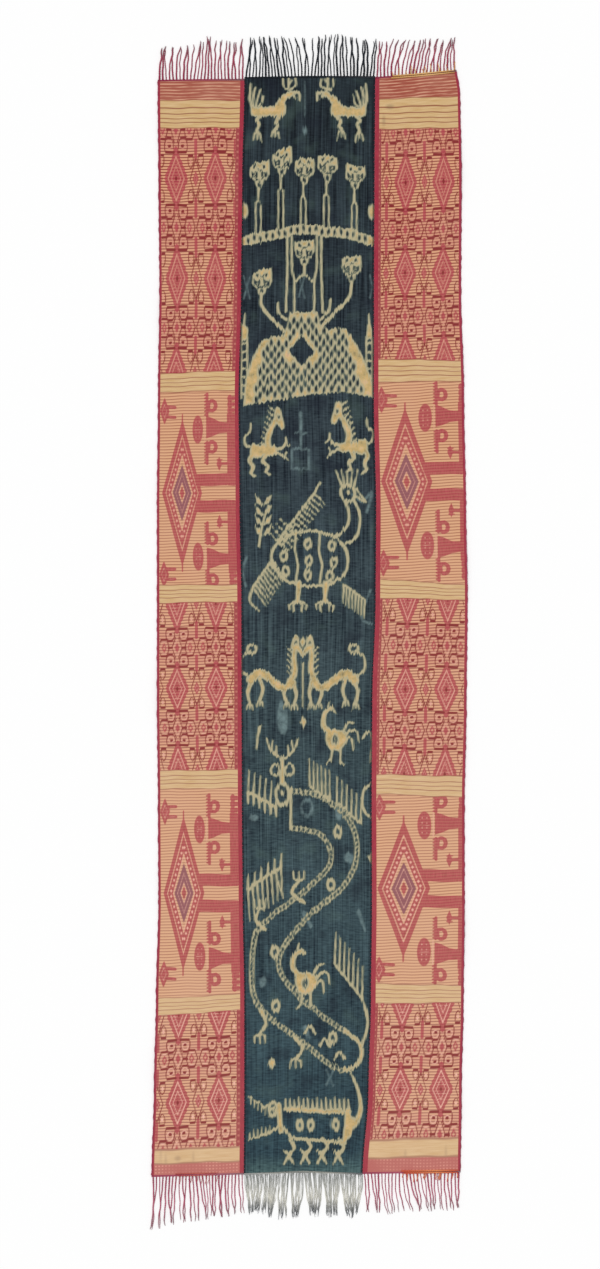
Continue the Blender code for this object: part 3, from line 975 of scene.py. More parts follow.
def draw_cock(pen):
    """A small cock that faces left: round breast, arched neck, three tail plumes and two legs."""
    pen.blob([(-14, 6), (-2, 8), (12, 4), (18, -8), (8, -24), (-8, -24), (-16, -10)])
    pen.curve([(-9, 2), (-19, 14), (-17, 32), (-6, 40)], 9, 7)
    pen.line([(-6, 40), (0, 32)], 5.5, 3)
    pen.line([(-12, 42), (-10, 50)], 4, 2.6)
    pen.curve([(12, -2), (24, 6), (33, 4), (35, -10)], 6, 3)
    pen.curve([(12, -8), (24, -6), (27, -24)], 5.5, 3)
    pen.curve([(10, 0), (18, 16), (28, 18)], 5, 3)
    pen.line([(-5, -22), (-8, -42)], 5, 3.4)
    pen.line([(7, -22), (7, -44)], 5, 3.4)
    pen.line([(7, -42), (13, -47)], 4, 2.6)
    pen.line([(-8, -40), (-14, -46)], 4, 2.6)
    pen.eraser().oval(-1, -9, 3.6, 6.0)
    pen.oval(-1, -9, 1.4, 2.6)


def draw_antlered_mask(pen):
    """A small head with branched antlers and lobed ears."""
    pen.line([(0, -36), (0, 14)], 10, 7)
    for side in (-1, 1):
        pen.curve([(0, 12), (side * 14, 18), (side * 26, 34), (side * 31, 50)], 6.4, 4.6)
        pen.line([(side * 12, 18), (side * 12, 36)], 5.4, 4.0)
        pen.line([(side * 22, 28), (side * 19, 46)], 5.0, 3.8)
        pen.ring(side * 14, -12, 9, 11, 5.0)
    pen.ring(0, -60, 13, 21, 6.0)
    pen.oval(0, -58, 3.8, 6.0)


def draw_chain(pen, points, width=11.0):
    """A double line with beads between its sides."""
    path = smooth_through(points)
    pen.line(path, width)
    hollow_along(pen, path, 9.5, 2.4, 3.6)


def draw_serpent(pen):
    """A long winding serpent in three bends, drawn as two chains, with combs at its bends and clawed legs."""
    right = [
        (-34, 0), (30, -14), (84, -64), (96, -130), (70, -190), (0, -250), (-52, -316), (-58, -360),
        (-20, -410), (30, -452), (72, -480),
    ]
    left = [
        (-34, -74), (18, -84), (44, -120), (34, -160), (-24, -212), (-88, -262), (-110, -300),
        (-112, -400), (-84, -448), (-20, -496), (40, -546), (72, -560),
    ]
    draw_chain(pen, right)
    draw_chain(pen, left)
    pen.line([(-36, 6), (-36, -78)], 6.0)
    # Tail: a scalloped tip
    pen.curve([(72, -480), (96, -500), (106, -520), (98, -546), (72, -560)], 9.0)
    for number in range(3):
        x, y = -8 + number * 30, -470 - number * 26
        pen.curve([(x, y - 14), (x + 10, y), (x + 20, y - 16)], 5.6)
    # Combs
    draw_comb(pen, (2, 8), (42, -18), (-1, 56), 6, 5.4)
    draw_comb(pen, (56, -22), (104, -66), (1, 52), 6, 5.4)
    draw_comb(pen, (-122, -2), (-66, -32), (3, 44), 6, 5.4)
    draw_comb(pen, (-122, -2), (-66, -32), (1, -20), 6, 7.0)
    draw_comb(pen, (-122, -196), (-56, -152), (4, -62), 8, 5.4)
    draw_comb(pen, (-122, -196), (-56, -152), (1, 26), 6, 6.4)
    draw_comb(pen, (52, -348), (106, -414), (2, 66), 7, 5.4)
    pen.curve([(106, -414), (118, -460), (108, -504)], 6.4)
    # Legs
    for points in (
        [(-10, -222), (-34, -204), (-20, -180)],
        [(-88, -276), (-106, -258), (-98, -236)],
        [(-96, -440), (-86, -466), (-98, -486)],
        [(-28, -492), (-12, -514), (-26, -534)],
    ):
        pen.curve(points, 9.0, 6.0)
        end_x, end_y = points[-1]
        up = 1 if end_y > points[0][1] else -1
        for side in (-1, 0, 1):
            claw = [(end_x, end_y), (end_x + side * 10, end_y + up * 4), (end_x + side * 11, end_y + up * 18)]
            pen.line(claw, 5.6, 4.0)


def draw_jawed_beast(pen):
    """A low beast that faces left: toothed open jaws, a spiked back, spots, a raised tail and four legs."""
    pen.line([(-42, 8), (60, 2), (84, 4)], 10.5)
    for number in range(15):
        x = -42 + number * 9.0
        pen.line([(x, 6), (x - 1, 27 + 3 * (number % 2))], 6.4, 3.6)
    pen.line([(-58, 8), (-50, -26), (-30, -50), (30, -56), (76, -60)], 6.0, 8.0)
    pen.shape([(76, 8), (86, 2), (98, -16), (92, -40), (76, -62), (70, -58), (74, -26)])
    for x in (-14, 8, 58):
        pen.ring(x, -24, 5.4, 9.0, 6.0)
    # Jaws, eye and teeth
    pen.curve([(-56, 4), (-84, 14), (-116, 32)], 7.5, 4.0)
    pen.curve([(-56, -26), (-86, -44), (-116, -52)], 7.0, 4.0)
    pen.line([(-56, 16), (-52, -36)], 11.0)
    pen.ring(-68, 8, 8.0, 13.0, 5.4)
    pen.oval(-68, 8, 2.4, 5.0)
    for number in range(6):
        share = number / 5
        upper = [(mix(-112, -74, share), mix(30, 6, share)), (mix(-112, -76, share), mix(16, -8, share))]
        pen.line(upper, 4.2, 2.4)
        x = mix(-114, -74, share)
        pen.line([(x, mix(-50, -40, share)), (x, mix(-38, -24, share))], 4.2, 2.4)
    # Tail and legs
    pen.curve([(82, -36), (99, -18), (108, 14), (101, 50), (88, 80)], 14, 4.6)
    for number in range(4):
        x = -34 + number * 33
        pen.curve([(x, -52), (x + 9, -68), (x - 2, -80)], 7.0, 7.0)
        for side in (-1, 1):
            pen.line([(x - 2, -84), (x - 2 + side * 9, -75)], 7.0, 5.0)
            pen.line([(x - 2, -84), (x - 2 + side * 9, -101)], 7.0, 5.0)


def draw_small_rings(pen, places):
    for x, y in places:
        pen.ring(x, y, 6.6, 10.0, 6.2)


def draw_centre_motifs(drawing):
    """All cream figures of the indigo panel, placed by their middles."""
    for flip in (1, -1):
        draw_deer(Pen(drawing, -1 - flip * 81, 1042, flip))
    pen = Pen(drawing)
    draw_skull_tree(pen)
    draw_mound(pen)
    draw_horse(Pen(drawing, -80, 364, 1))
    draw_horse(Pen(drawing, 78, 372, -1, 1.05))
    draw_spotted_bird(Pen(drawing, 4, 148))
    for flip in (1, -1):
        draw_long_necked_beast(Pen(drawing, -12 - flip * 40, -92, flip))
    pen.line([(-12, -62), (-12, -152)], 4.8, 3.6)
    pen.diamond(-12, -20, 7, 12)
    pen.diamond(-11, -181, 7, 13)
    pen.curve([(-98, -188), (-102, -208), (-105, -234)], 7.5, 3.4)
    draw_cock(Pen(drawing, 54, -205, 1, 1.3))
    pen.curve([(108, -214), (118, -200), (126, -210), (124, -262)], 5.0)
    pen.curve([(128, -302), (110, -318), (108, -352), (124, -372)], 6.0)
    draw_antlered_mask(Pen(drawing, -53, -264))
    draw_serpent(Pen(drawing, 0, -318))
    draw_small_rings(pen, ((58, -400), (44, -506), (-68, -640), (-66, -748), (48, -812)))
    pen.diamond(-74, -864, 9, 14)
    pen.curve([(-62, -498), (-56, -516), (-53, -528)], 5, 3)
    pen.diamond(126, -452, 9, 14)
    draw_cock(Pen(drawing, -6, -690, 1, 1.35))
    draw_jawed_beast(Pen(drawing, -4, -962))


def draw_centre_ghosts(drawing):
    """Pale figures whose dye has run, between the cream ones."""
    pen = Pen(drawing)
    pen.line([(-8, 1100), (-8, 1034)], 3.5)
    pen.oval(-8, 1003, 5, 9)
    for x, y in ((-14, 690), (128, 690), (-124, 688)):
        pen.line([(x - 6, y + 22), (x + 6, y - 22)], 4)
        pen.line([(x + 6, y + 22), (x - 6, y - 22)], 4)
    pen.line([(-16, 436), (-16, 372)], 9, 6)
    pen.line([(-34, 366), (0, 366), (0, 326), (-34, 326), (-34, 366)], 6)
    pen.line([(-27, 398), (-5, 398)], 5)
    pen.curve([(88, 276), (108, 262), (126, 280), (116, 240)], 7)
    pen.curve([(124, 84), (110, 50), (106, 24), (126, 16)], 6)
    pen.curve([(-124, 150), (-132, 120), (-126, 90)], 6)
    pen.blob([(-58, -140), (-44, -150), (-42, -196), (-56, -206), (-64, -176)])
    pen.ring(-4, -352, 11, 16, 6)
    pen.oval(80, -452, 10, 12)
    pen.oval(-110, -372, 10, 7)
    pen.oval(60, -362, 8, 16)
    pen.line([(100, -560), (112, -596)], 10, 6)
    pen.line([(-10, -562), (4, -590)], 10, 8)
    pen.oval(-92, -700, 8, 12)
    pen.line([(-8, -790), (0, -812)], 12, 8)
    for side in (-1, 1):
        pen.line([(42 - 7 * side, -876), (42 + 7 * side, -908)], 5)
    pen.oval(-22, -984, 6, 10)
    pen.oval(46, -984, 6, 10)


def warp_slip(sheet):
    """How far each group of warp threads has slipped along the cloth, in millimetres."""
    chance = np.random.default_rng(11)
    columns = sheet.cells.across + 1
    knots = 52
    table = chance.normal(0.0, 1.0, (knots, columns))
    column = np.rint(sheet.across * (columns - 1)).astype(int)
    row = sheet.along * (knots - 1)
    below = np.minimum(row.astype(int), knots - 2)
    return WARP_SLIP * mix(table[below, column], table[below + 1, column], row - below)


def draw_centre_panel():
    sheet = Sheet("centre_panel", CENTRE_CELLS)
    y = sheet.y + warp_slip(sheet)
    motifs = Drawing(sheet.x, y)
    ghosts = Drawing(sheet.x, y)
    draw_centre_motifs(motifs)
    draw_centre_ghosts(ghosts)
    cover = motifs.cover(MOTIF_SOFTNESS)
    face = ~sheet.under
    half_width = (sheet.plan.right[1].mean() - sheet.plan.left[1].mean()) / MM / 2
    from_seam = (0.5 - np.abs(sheet.across - 0.5)) * half_width * 2
    sheet.raised = MOTIF_HEIGHT * smooth((cover - 0.35) / 0.3) * face + pucker(sheet, from_seam)
    faint = ghosts.cover(MOTIF_SOFTNESS)
    set_attribute(sheet.mesh, "pattern", cover * face, faint * face, from_seam / 100.0)
    return sheet


# Materials

MATH = "ShaderNodeMath"
MIX = "ShaderNodeMix"
NOISE = "ShaderNodeTexNoise"
RANGE = "ShaderNodeMapRange"
SPLIT = "ShaderNodeSeparateXYZ"
SCALE = "ShaderNodeMapping"
RAMP = "ShaderNodeValToRGB"
BUMP = "ShaderNodeBump"


def colour(code):
    """Linear light of an sRGB hex colour."""
    parts = [int(code[start:start + 2], 16) / 255 for start in (1, 3, 5)]
    return (*(part / 12.92 if part <= 0.04045 else ((part + 0.055) / 1.055) ** 2.4 for part in parts), 1.0)


def add_node(tree, kind, inputs=None, output=None, stops=None, **settings):
    """Adds a node with its settings and links. Gives the named output, or else the first that is in use."""
    node = tree.nodes.new(kind)
    for name, value in settings.items():
        setattr(node, name, value)
    if stops:
        ramp = node.color_ramp
        while len(ramp.elements) < len(stops):
            ramp.elements.new(0.5)
        for element, (position, code) in zip(ramp.elements, stops):
            element.position = position
            element.color = colour(code)
    sockets = [socket for socket in node.inputs if socket.enabled]
    for key, value in (inputs or {}).items():
        socket = sockets[key] if isinstance(key, int) else next(item for item in sockets if item.name == key)
        if isinstance(value, bpy.types.NodeSocket):
            tree.links.new(value, socket)
        else:
            socket.default_value = value
    if output:
        return node.outputs[output]
    return next(socket for socket in node.outputs if socket.enabled)


def new_material(name, roughness, sheen):
    """A cloth material: matt, with the soft edge light of loose fibres."""
    material = bpy.data.materials.new(name)
    material.use_nodes = True
    tree = material.node_tree
    shader = tree.nodes["Principled BSDF"]
    shader.inputs["Roughness"].default_value = roughness
    shader.inputs["IOR"].default_value = 1.45
    shader.inputs["Specular IOR Level"].default_value = 0.15
    shader.inputs["Sheen Weight"].default_value = sheen
    shader.inputs["Sheen Roughness"].default_value = 0.6
    return material, tree, shader


def attribute_parts(tree, name):
    vector = add_node(tree, "ShaderNodeAttribute", output="Vector", attribute_name=name)
    split = tree.nodes.new(SPLIT)
    tree.links.new(vector, split.inputs[0])
    return split.outputs


def stretched_noise(tree, place, per_metre, detail=2.0):
    """Noise with its own number of features to the metre along each axis."""
    scaled = add_node(tree, SCALE, {"Vector": place, "Scale": per_metre})
    return add_node(tree, NOISE, {"Vector": scaled, "Scale": 1.0, "Detail": detail})


def soft_lines(tree, distance, pitch, wander, low, high):
    """Lines that lie a pitch in millimetres apart: 1 on a line, 0 between them."""
    turn = 2000 * math.pi / pitch
    turns = add_node(tree, MATH, {0: distance, 1: turn, 2: wander}, operation="MULTIPLY_ADD")
    wave = add_node(tree, MATH, {0: turns}, operation="SINE")
    return add_node(tree, RANGE, {"Value": wave, "From Min": low, "From Max": high},
                    interpolation_type="SMOOTHSTEP")


def crimson_weave():
    """Handwoven cotton with supplementary warp floats.

    Cream and red weft-wise lines form the ground. Crimson floats lie over them, with the ground's lines just
    showing through, and the bands of plain weft are a warm cream.
    """
    material, tree, shader = new_material("handwoven_cotton_crimson_floats", 0.88, 0.05)
    pattern = attribute_parts(tree, "pattern")
    ground = attribute_parts(tree, "ground")
    trim = attribute_parts(tree, "trim")
    tone = attribute_parts(tree, "tone")
    stain = attribute_parts(tree, "stain")
    weave = add_node(tree, "ShaderNodeUVMap", uv_map="Weave")
    place = add_node(tree, "ShaderNodeTexCoord", output="Object")
    weave_parts = tree.nodes.new(SPLIT)
    tree.links.new(weave, weave_parts.inputs[0])
    place_parts = tree.nodes.new(SPLIT)
    tree.links.new(place, place_parts.inputs[0])

    def sharp(value, low=0.34, high=0.66):
        return add_node(tree, RANGE, {"Value": value, "From Min": low, "From Max": high},
                        interpolation_type="SMOOTHSTEP")

    def over(base, share, top):
        return add_node(tree, MIX, {"Factor": share, "A": base, "B": top}, data_type="RGBA")

    # Ground lines that waver along the weft, broad in the diamond bands and fine in the lozenge bands
    wander = add_node(tree, MATH, {0: stretched_noise(tree, weave, (14.0, 7.0, 1.0), 1.0), 1: 7.0},
                      operation="MULTIPLY")
    broad = soft_lines(tree, weave_parts.outputs["Y"], GROUND_LINE_PITCH, wander, -0.1, 0.75)
    fine = soft_lines(tree, weave_parts.outputs["Y"], GROUND_LINE_PITCH, wander, 0.0, 1.1)

    # Slubs and single threads along the weft, fine warp threads, and clouds of wear
    slub = stretched_noise(tree, weave, (26.0, 420.0, 1.0))
    thread = stretched_noise(tree, weave, (700.0, 60.0, 1.0))
    cloud = add_node(tree, NOISE, {"Vector": place, "Scale": 9.0, "Detail": 4.0, "Roughness": 0.6})

    deep = over(colour("#dba27c"), broad, colour("#8e3d36"))
    pale = over(colour("#d9a57c"), fine, colour("#9c5a44"))
    base = over(deep, trim["Z"], pale)
    washed = add_node(tree, MATH, {0: tone["X"], 1: 0.26}, operation="MULTIPLY")
    base = over(base, washed, colour("#b4555a"))

    # Cream weft bands with their thin dark red lines
    creamy = add_node(tree, RAMP, {0: slub}, stops=(
        (0.25, "#c49e66"), (0.5, "#cfae7c"), (0.8, "#dcbf90"),
    ))
    base = over(base, sharp(ground["X"]), creamy)
    from_line = add_node(tree, MATH, {0: trim["Y"], 1: 0.5}, operation="PINGPONG")
    thin = add_node(tree, RANGE, {
        "Value": from_line, "From Min": 0.05, "From Max": 0.13, "To Min": 0.85, "To Max": 0.0,
    })
    nearby = add_node(tree, MATH, {0: ground["X"], 1: 2.0}, operation="MULTIPLY", use_clamp=True)
    base = over(base, add_node(tree, MATH, {0: thin, 1: nearby}, operation="MULTIPLY"), colour("#86402f"))

    stained = add_node(tree, MATH, {0: stain["X"], 1: 0.42}, operation="MULTIPLY")
    base = over(base, stained, colour("#6e5a44"))

    # Red weft bands at the ends: fine lines above, a fine grid below
    red_lines = soft_lines(tree, weave_parts.outputs["Y"], RED_LINE_PITCH, wander, -0.5, 0.9)
    broken = add_node(tree, MATH, {0: red_lines, 1: sharp(slub, 0.3, 0.62)}, operation="MULTIPLY")
    uprights = soft_lines(tree, weave_parts.outputs["X"], RED_LINE_PITCH, 0.0, -0.6, 0.8)
    crossed = add_node(tree, MATH, {0: red_lines, 1: uprights}, operation="MULTIPLY")
    crossed = add_node(tree, MATH, {0: crossed, 1: sharp(cloud, 0.38, 0.6)}, operation="MULTIPLY")
    red_share = add_node(tree, MIX, {"Factor": tone["Z"], "A": broken, "B": crossed}, data_type="FLOAT")
    rusty = add_node(tree, RAMP, {0: red_share}, stops=((0.0, "#9c4a3c"), (1.0, "#d6a084")))
    rosy = add_node(tree, RAMP, {0: red_share}, stops=((0.0, "#a83240"), (1.0, "#d8847a")))
    base = over(base, sharp(ground["Y"]), over(rusty, tone["Z"], rosy))

    # Age: soft clouds of fading, and a paler lower end
    fade = add_node(tree, RANGE, {"Value": cloud, "From Min": 0.35, "From Max": 0.75, "To Max": 0.14})
    base = over(base, fade, colour("#dcb39a"))
    low = add_node(tree, RANGE, {
        "Value": place_parts.outputs["Y"], "From Min": 1.0, "From Max": -1.0, "To Max": 0.16,
    })
    base = over(base, low, colour("#f6d4b8"))

    # Floats
    float_tone = add_node(tree, RAMP, {0: thread}, stops=((0.3, "#9a313e"), (0.7, "#b54654")))
    showing = add_node(tree, MATH, {0: broad, 1: 0.1, 2: 0.82}, operation="MULTIPLY_ADD")
    share = add_node(tree, MATH, {0: sharp(pattern["X"]), 1: showing}, operation="MULTIPLY")
    base = over(base, share, float_tone)
    mauve = add_node(tree, MATH, {0: sharp(tone["Y"]), 1: 0.88}, operation="MULTIPLY")
    base = over(base, mauve, colour("#84495a"))
    base = over(base, sharp(pattern["Z"]), colour("#84292c"))
    paler = add_node(tree, MATH, {0: low, 1: 6.0}, operation="MULTIPLY", use_clamp=True)
    light_tone = over(colour("#d2907a"), paler, colour("#efb9a6"))
    base = over(base, sharp(pattern["Y"], 0.4, 0.8), light_tone)

    # Dotted border and solid crimson edges
    waves = []
    for axis in ("Y", "X"):
        turns = add_node(tree, MATH, {0: weave_parts.outputs[axis], 1: 1000 * math.pi / DOT_PITCH},
                         operation="MULTIPLY")
        waves.append(add_node(tree, MATH, {0: turns}, operation="SINE"))
    dot = sharp(add_node(tree, MATH, dict(enumerate(waves)), operation="MULTIPLY"), 0.2, 0.6)
    dots = over(colour("#9c4346"), dot, colour("#b96c62"))
    base = over(base, sharp(trim["X"]), dots)
    edge_tone = add_node(tree, RAMP, {0: thread}, stops=((0.3, "#8f2438"), (0.7, "#ab3448")))
    base = over(base, sharp(ground["Z"]), edge_tone)

    # Floats and edges fade less than the ground
    worn = add_node(tree, MATH, {0: fade, 1: 0.4}, operation="MULTIPLY")
    base = over(base, worn, colour("#d8a58c"))
    worn_low = add_node(tree, MATH, {0: low, 1: 0.3}, operation="MULTIPLY")
    base = over(base, worn_low, colour("#f0b8a4"))
    tree.links.new(base, shader.inputs["Base Color"])

    # Relief of the weft lines and the warp threads
    relief = add_node(tree, MATH, {0: thread, 1: 0.5, 2: broad}, operation="MULTIPLY_ADD")
    bump = add_node(tree, BUMP, {"Height": relief, "Strength": 0.5, "Distance": 0.00025})
    tree.links.new(bump, shader.inputs["Normal"])
    return material


def indigo_ikat():
    """Warp ikat cotton dyed in indigo.

    The undyed figures are a warm cream with a grey-green edge where dye crept under the binding. Single warp
    threads are darker or paler over long stretches, and the weft shows as faint ribs.
    """
    material, tree, shader = new_material("warp_ikat_indigo_cotton", 0.92, 0.03)
    pattern = attribute_parts(tree, "pattern")
    weave = add_node(tree, "ShaderNodeUVMap", uv_map="Weave")
    place = add_node(tree, "ShaderNodeTexCoord", output="Object")
    place_parts = tree.nodes.new(SPLIT)
    tree.links.new(place, place_parts.inputs[0])

    def over(base, share, top):
        return add_node(tree, MIX, {"Factor": share, "A": base, "B": top}, data_type="RGBA")

    def eased(value, low, high, top=1.0):
        return add_node(tree, RANGE, {"Value": value, "From Min": low, "From Max": high, "To Max": top},
                        interpolation_type="SMOOTHSTEP")

    # Long streaks of 3 mm, fine threads of 1 mm, and the ribs of the weft
    streak = stretched_noise(tree, weave, (300.0, 6.0, 1.0), 3.0)
    thread = stretched_noise(tree, weave, (800.0, 45.0, 1.0))
    rib = stretched_noise(tree, weave, (70.0, 300.0, 1.0), 1.0)
    cloud = add_node(tree, NOISE, {"Vector": place, "Scale": 7.0, "Detail": 3.0, "Roughness": 0.6})
    blotch = add_node(tree, NOISE, {"Vector": place, "Scale": 55.0, "Detail": 3.0, "Roughness": 0.65})
    height = add_node(tree, RANGE, {"Value": place_parts.outputs["Y"], "From Min": 1.1, "From Max": -1.1})

    # Indigo, darkest at the top end
    dark = add_node(tree, RAMP, {0: height}, stops=(
        (0.0, "#0f161c"), (0.35, "#131c25"), (0.6, "#132029"), (0.975, "#0f1c27"), (0.995, "#182f37"),
    ))
    pale = add_node(tree, RAMP, {0: height}, stops=(
        (0.0, "#435259"), (0.35, "#4f5e65"), (0.6, "#576b6f"), (0.975, "#3d565f"), (0.995, "#65817e"),
    ))
    mottle = add_node(tree, MATH, {0: cloud, 1: 0.45, 2: streak}, operation="MULTIPLY_ADD")
    ribbing = add_node(tree, MATH, {0: height, 1: 0.5, 2: 0.26}, operation="MULTIPLY_ADD")
    mottle = add_node(tree, MATH, {0: rib, 1: ribbing, 2: mottle}, operation="MULTIPLY_ADD")
    ground = over(dark, add_node(tree, RANGE, {"Value": mottle, "From Min": 0.72, "From Max": 1.42}), pale)
    patch = add_node(tree, NOISE, {"Vector": place, "Scale": 17.0, "Detail": 2.0})
    ground = over(ground, eased(patch, 0.5, 0.72, 0.55), colour("#171c28"))
    ground = over(ground, eased(patch, 0.46, 0.25, 0.22), colour("#5c736a"))

    # Ghosts: figures that have nearly filled with dye
    ghost = eased(pattern["Y"], 0.3, 0.9)
    faint = add_node(tree, MATH, {0: ghost, 1: eased(blotch, 0.12, 0.8)}, operation="MULTIPLY")
    ground = over(ground, faint, colour("#74898a"))

    # Figures: the edge breaks up on single threads
    ragged = add_node(tree, MATH, {0: thread, 1: 0.5}, operation="SUBTRACT")
    edge = add_node(tree, MATH, {0: ragged, 1: 0.7, 2: pattern["X"]}, operation="MULTIPLY_ADD")
    bare = add_node(tree, RAMP, {0: blotch}, stops=(
        (0.28, "#857a5c"), (0.42, "#b59e6c"), (0.55, "#cbac74"), (0.66, "#d2b489"), (0.78, "#c99a7c"),
    ))
    ground = over(ground, eased(edge, 0.34, 0.54), colour("#6a7262"))
    ground = over(ground, eased(edge, 0.48, 0.68), colour("#b4ab8a"))
    ground = over(ground, eased(edge, 0.74, 1.02), bare)

    # A dark line along each seam. The distance from it is kept in decimetres.
    seam = add_node(tree, RANGE, {
        "Value": pattern["Z"], "From Min": 0.02, "From Max": 0.05, "To Min": 0.8, "To Max": 0.0,
    })
    ground = over(ground, seam, colour("#1b1c24"))
    tree.links.new(ground, shader.inputs["Base Color"])

    relief = add_node(tree, MATH, {0: thread, 1: 0.6, 2: rib}, operation="MULTIPLY_ADD")
    bump = add_node(tree, BUMP, {"Height": relief, "Strength": 0.5, "Distance": 0.0002})
    tree.links.new(bump, shader.inputs["Normal"])
    return material


def cotton_yarn(name, root, middle, tip):
    """Twisted cotton yarn: darker between the plies, its dye rubbed to grey towards the tip."""
    material, tree, shader = new_material(name, 0.9, 0.06)
    parts = attribute_parts(tree, "yarn")
    tone = add_node(tree, RAMP, {0: parts["X"]}, stops=((0.05, root), (0.6, middle), (0.95, tip)))
    shade = add_node(tree, RANGE, {"Value": parts["Y"], "To Min": 0.0, "To Max": 0.6})
    base = add_node(tree, MIX, {"Factor": shade, "A": tone, "B": colour(root)}, data_type="RGBA")
    fibre = add_node(tree, NOISE, {
        "Vector": add_node(tree, "ShaderNodeTexCoord", output="Object"), "Scale": 900.0, "Detail": 2.0,
    })
    dim = add_node(tree, RANGE, {
        "Value": fibre, "From Min": 0.3, "From Max": 0.7, "To Min": 0.75, "To Max": 1.1,
    })
    base = add_node(tree, MIX, {"Factor": 1.0, "A": base, "B": dim}, data_type="RGBA", blend_type="MULTIPLY")
    tree.links.new(base, shader.inputs["Base Color"])
    bump = add_node(tree, BUMP, {"Height": fibre, "Strength": 0.4, "Distance": 0.0001})
    tree.links.new(bump, shader.inputs["Normal"])
    return material


# Fringes

Cord = namedtuple("Cord", "points radii tone")
HEADING_REACH = 4.2 * MM
LOOSE_THREADS = 6
STITCH_PITCH = 8.5 * MM
TOUCHING_GAP = 4.4 * MM
TWINING_ROWS = (-1.2 * MM, 2.6 * MM)
TWINING_HEIGHT = 3.0 * MM
LOOSE_ENDS = 12


def cord_mesh(name, cords, sides_step):
    """One mesh of round cords. Each point keeps its share along its cord and its cord's tone."""
    sides = 4 + 2 * sides_step
    curve = bpy.data.curves.new(name, "CURVE")
    curve.dimensions = "3D"
    curve.bevel_depth = 1.0
    curve.bevel_resolution = sides_step
    for cord in cords:
        spline = curve.splines.new("POLY")
        spline.points.add(len(cord.points) - 1)
        spline.points.foreach_set("co", np.column_stack((cord.points, np.ones(len(cord.points)))).ravel())
        spline.points.foreach_set("radius", np.asarray(cord.radii, dtype=float))
    holder = bpy.data.objects.new(name, curve)
    mesh = bpy.data.meshes.new_from_object(holder)
    bpy.data.objects.remove(holder)
    bpy.data.curves.remove(curve)
    shares = np.concatenate([np.repeat(np.linspace(0, 1, len(cord.points)), sides) for cord in cords])
    tones = np.concatenate([np.full(len(cord.points) * sides, cord.tone) for cord in cords])
    if len(shares) != len(mesh.vertices):
        raise RuntimeError(f"{name} has {len(mesh.vertices)} points, not {len(shares)}")
    set_attribute(mesh, "yarn", shares, tones, np.zeros(len(shares)))
    bm = bmesh.new()
    bm.from_mesh(mesh)
    bmesh.ops.holes_fill(bm, edges=[edge for edge in bm.edges if edge.is_boundary], sides=0)
    bmesh.ops.recalc_face_normals(bm, faces=bm.faces[:])
    bm.to_mesh(mesh)
    bm.free()
    mesh.shade_smooth()
    return mesh


def strand_paths(node, plan, end):
    """The strands of a fringe's solid, from left to right, as lists of points from root to tip."""
    bm = merged_copy(node)
    edge_line = plan.top if end > 0 else plan.bottom
    beyond = {vert: (vert.co.y - np.interp(vert.co.x, *edge_line)) * end for vert in bm.verts}
    free = {vert for vert, distance in beyond.items() if distance > HEADING_REACH}
    paths = []
    left_over = set(free)
    while left_over:
        group = {left_over.pop()}
        front = list(group)
        roots = set()
        while front:
            vert = front.pop()
            for edge in vert.link_edges:
                other = edge.other_vert(vert)
                if other not in free:
                    roots.add(other)
                elif other not in group:
                    group.add(other)
                    front.append(other)
        left_over -= group
        ordered = sorted(group, key=lambda vert: beyond[vert])
        rings = [ordered[start:start + 4] for start in range(0, len(ordered), 4)]
        rings.insert(0, list(roots))
        paths.append(np.array([np.mean([vert.co[:] for vert in ring], axis=0) for ring in rings]))
    bm.free()
    return sorted(paths, key=lambda path: path[0][0])


def smooth_path(path, count, chance):
    """A strand's path with its given number of even steps, and the small waves of crimped yarn."""
    shares = np.linspace(0, 1, len(path))
    steps = np.linspace(0, 1, count)
    curve = np.column_stack([np.polyval(np.polyfit(shares, path[:, axis], 3), steps) for axis in range(3)])
    for waves, height in ((chance.uniform(1.2, 2.2), 1.3), (chance.uniform(3.0, 4.6), 0.5)):
        curve[:, 0] += height * MM * steps * np.sin(2 * math.pi * (waves * steps + chance.random()))
    return curve


# The ply radius is in millimetres
FringeLook = namedtuple("FringeLook", "node panel end slot yarn ply_radius loose")


def meet_neighbours(paths, chance):
    """Lets strands whose tips lie close come together, so that they touch, cross or wind round each other."""
    count = len(paths[0])
    shares = np.linspace(0, 1, count)
    number = 0
    while number + 1 < len(paths):
        near, far = paths[number], paths[number + 1]
        gap = far[-1][0] - near[-1][0]
        if gap < TOUCHING_GAP:
            style = chance.random()
            if style < 0.45:
                start = chance.uniform(0.35, 0.6)
                pull = smooth((shares - start) / (1 - start)) * gap * chance.uniform(0.55, 0.8)
                near[:, 0] += pull
                far[:, 0] -= pull
                near[:, 2] += smooth((shares - start) / 0.2) * 1.1 * MM
            elif style < 0.75:
                middle = chance.uniform(0.45, 0.75)
                pull = np.exp(-((shares - middle) / 0.22) ** 2) * (far[:, 0] - near[:, 0]) * 0.42
                near[:, 0] += pull
                far[:, 0] -= pull
            number += 2
        else:
            number += 1


def twisted_cords(path, radius, twist_pitch, tone, phase):
    """Two plies wound round a path."""
    steps = len(path)
    length = np.concatenate(([0.0], np.cumsum(np.linalg.norm(np.diff(path, axis=0), axis=1))))
    taper = np.interp(np.linspace(0, 1, steps), (0, 0.9, 1), (1.0, 0.82, 0.4))
    cords = []
    for ply in (0, 1):
        angle = phase + ply * math.pi + 2 * math.pi * length / twist_pitch
        offset = radius * 0.5 * taper
        points = path.copy()
        points[:, 0] += offset * np.cos(angle)
        points[:, 2] += offset * np.sin(angle)
        radii = radius * taper
        points[:, 2] = np.maximum(points[:, 2], radii * 1.02)
        cords.append(Cord(points, radii, tone))
    return cords


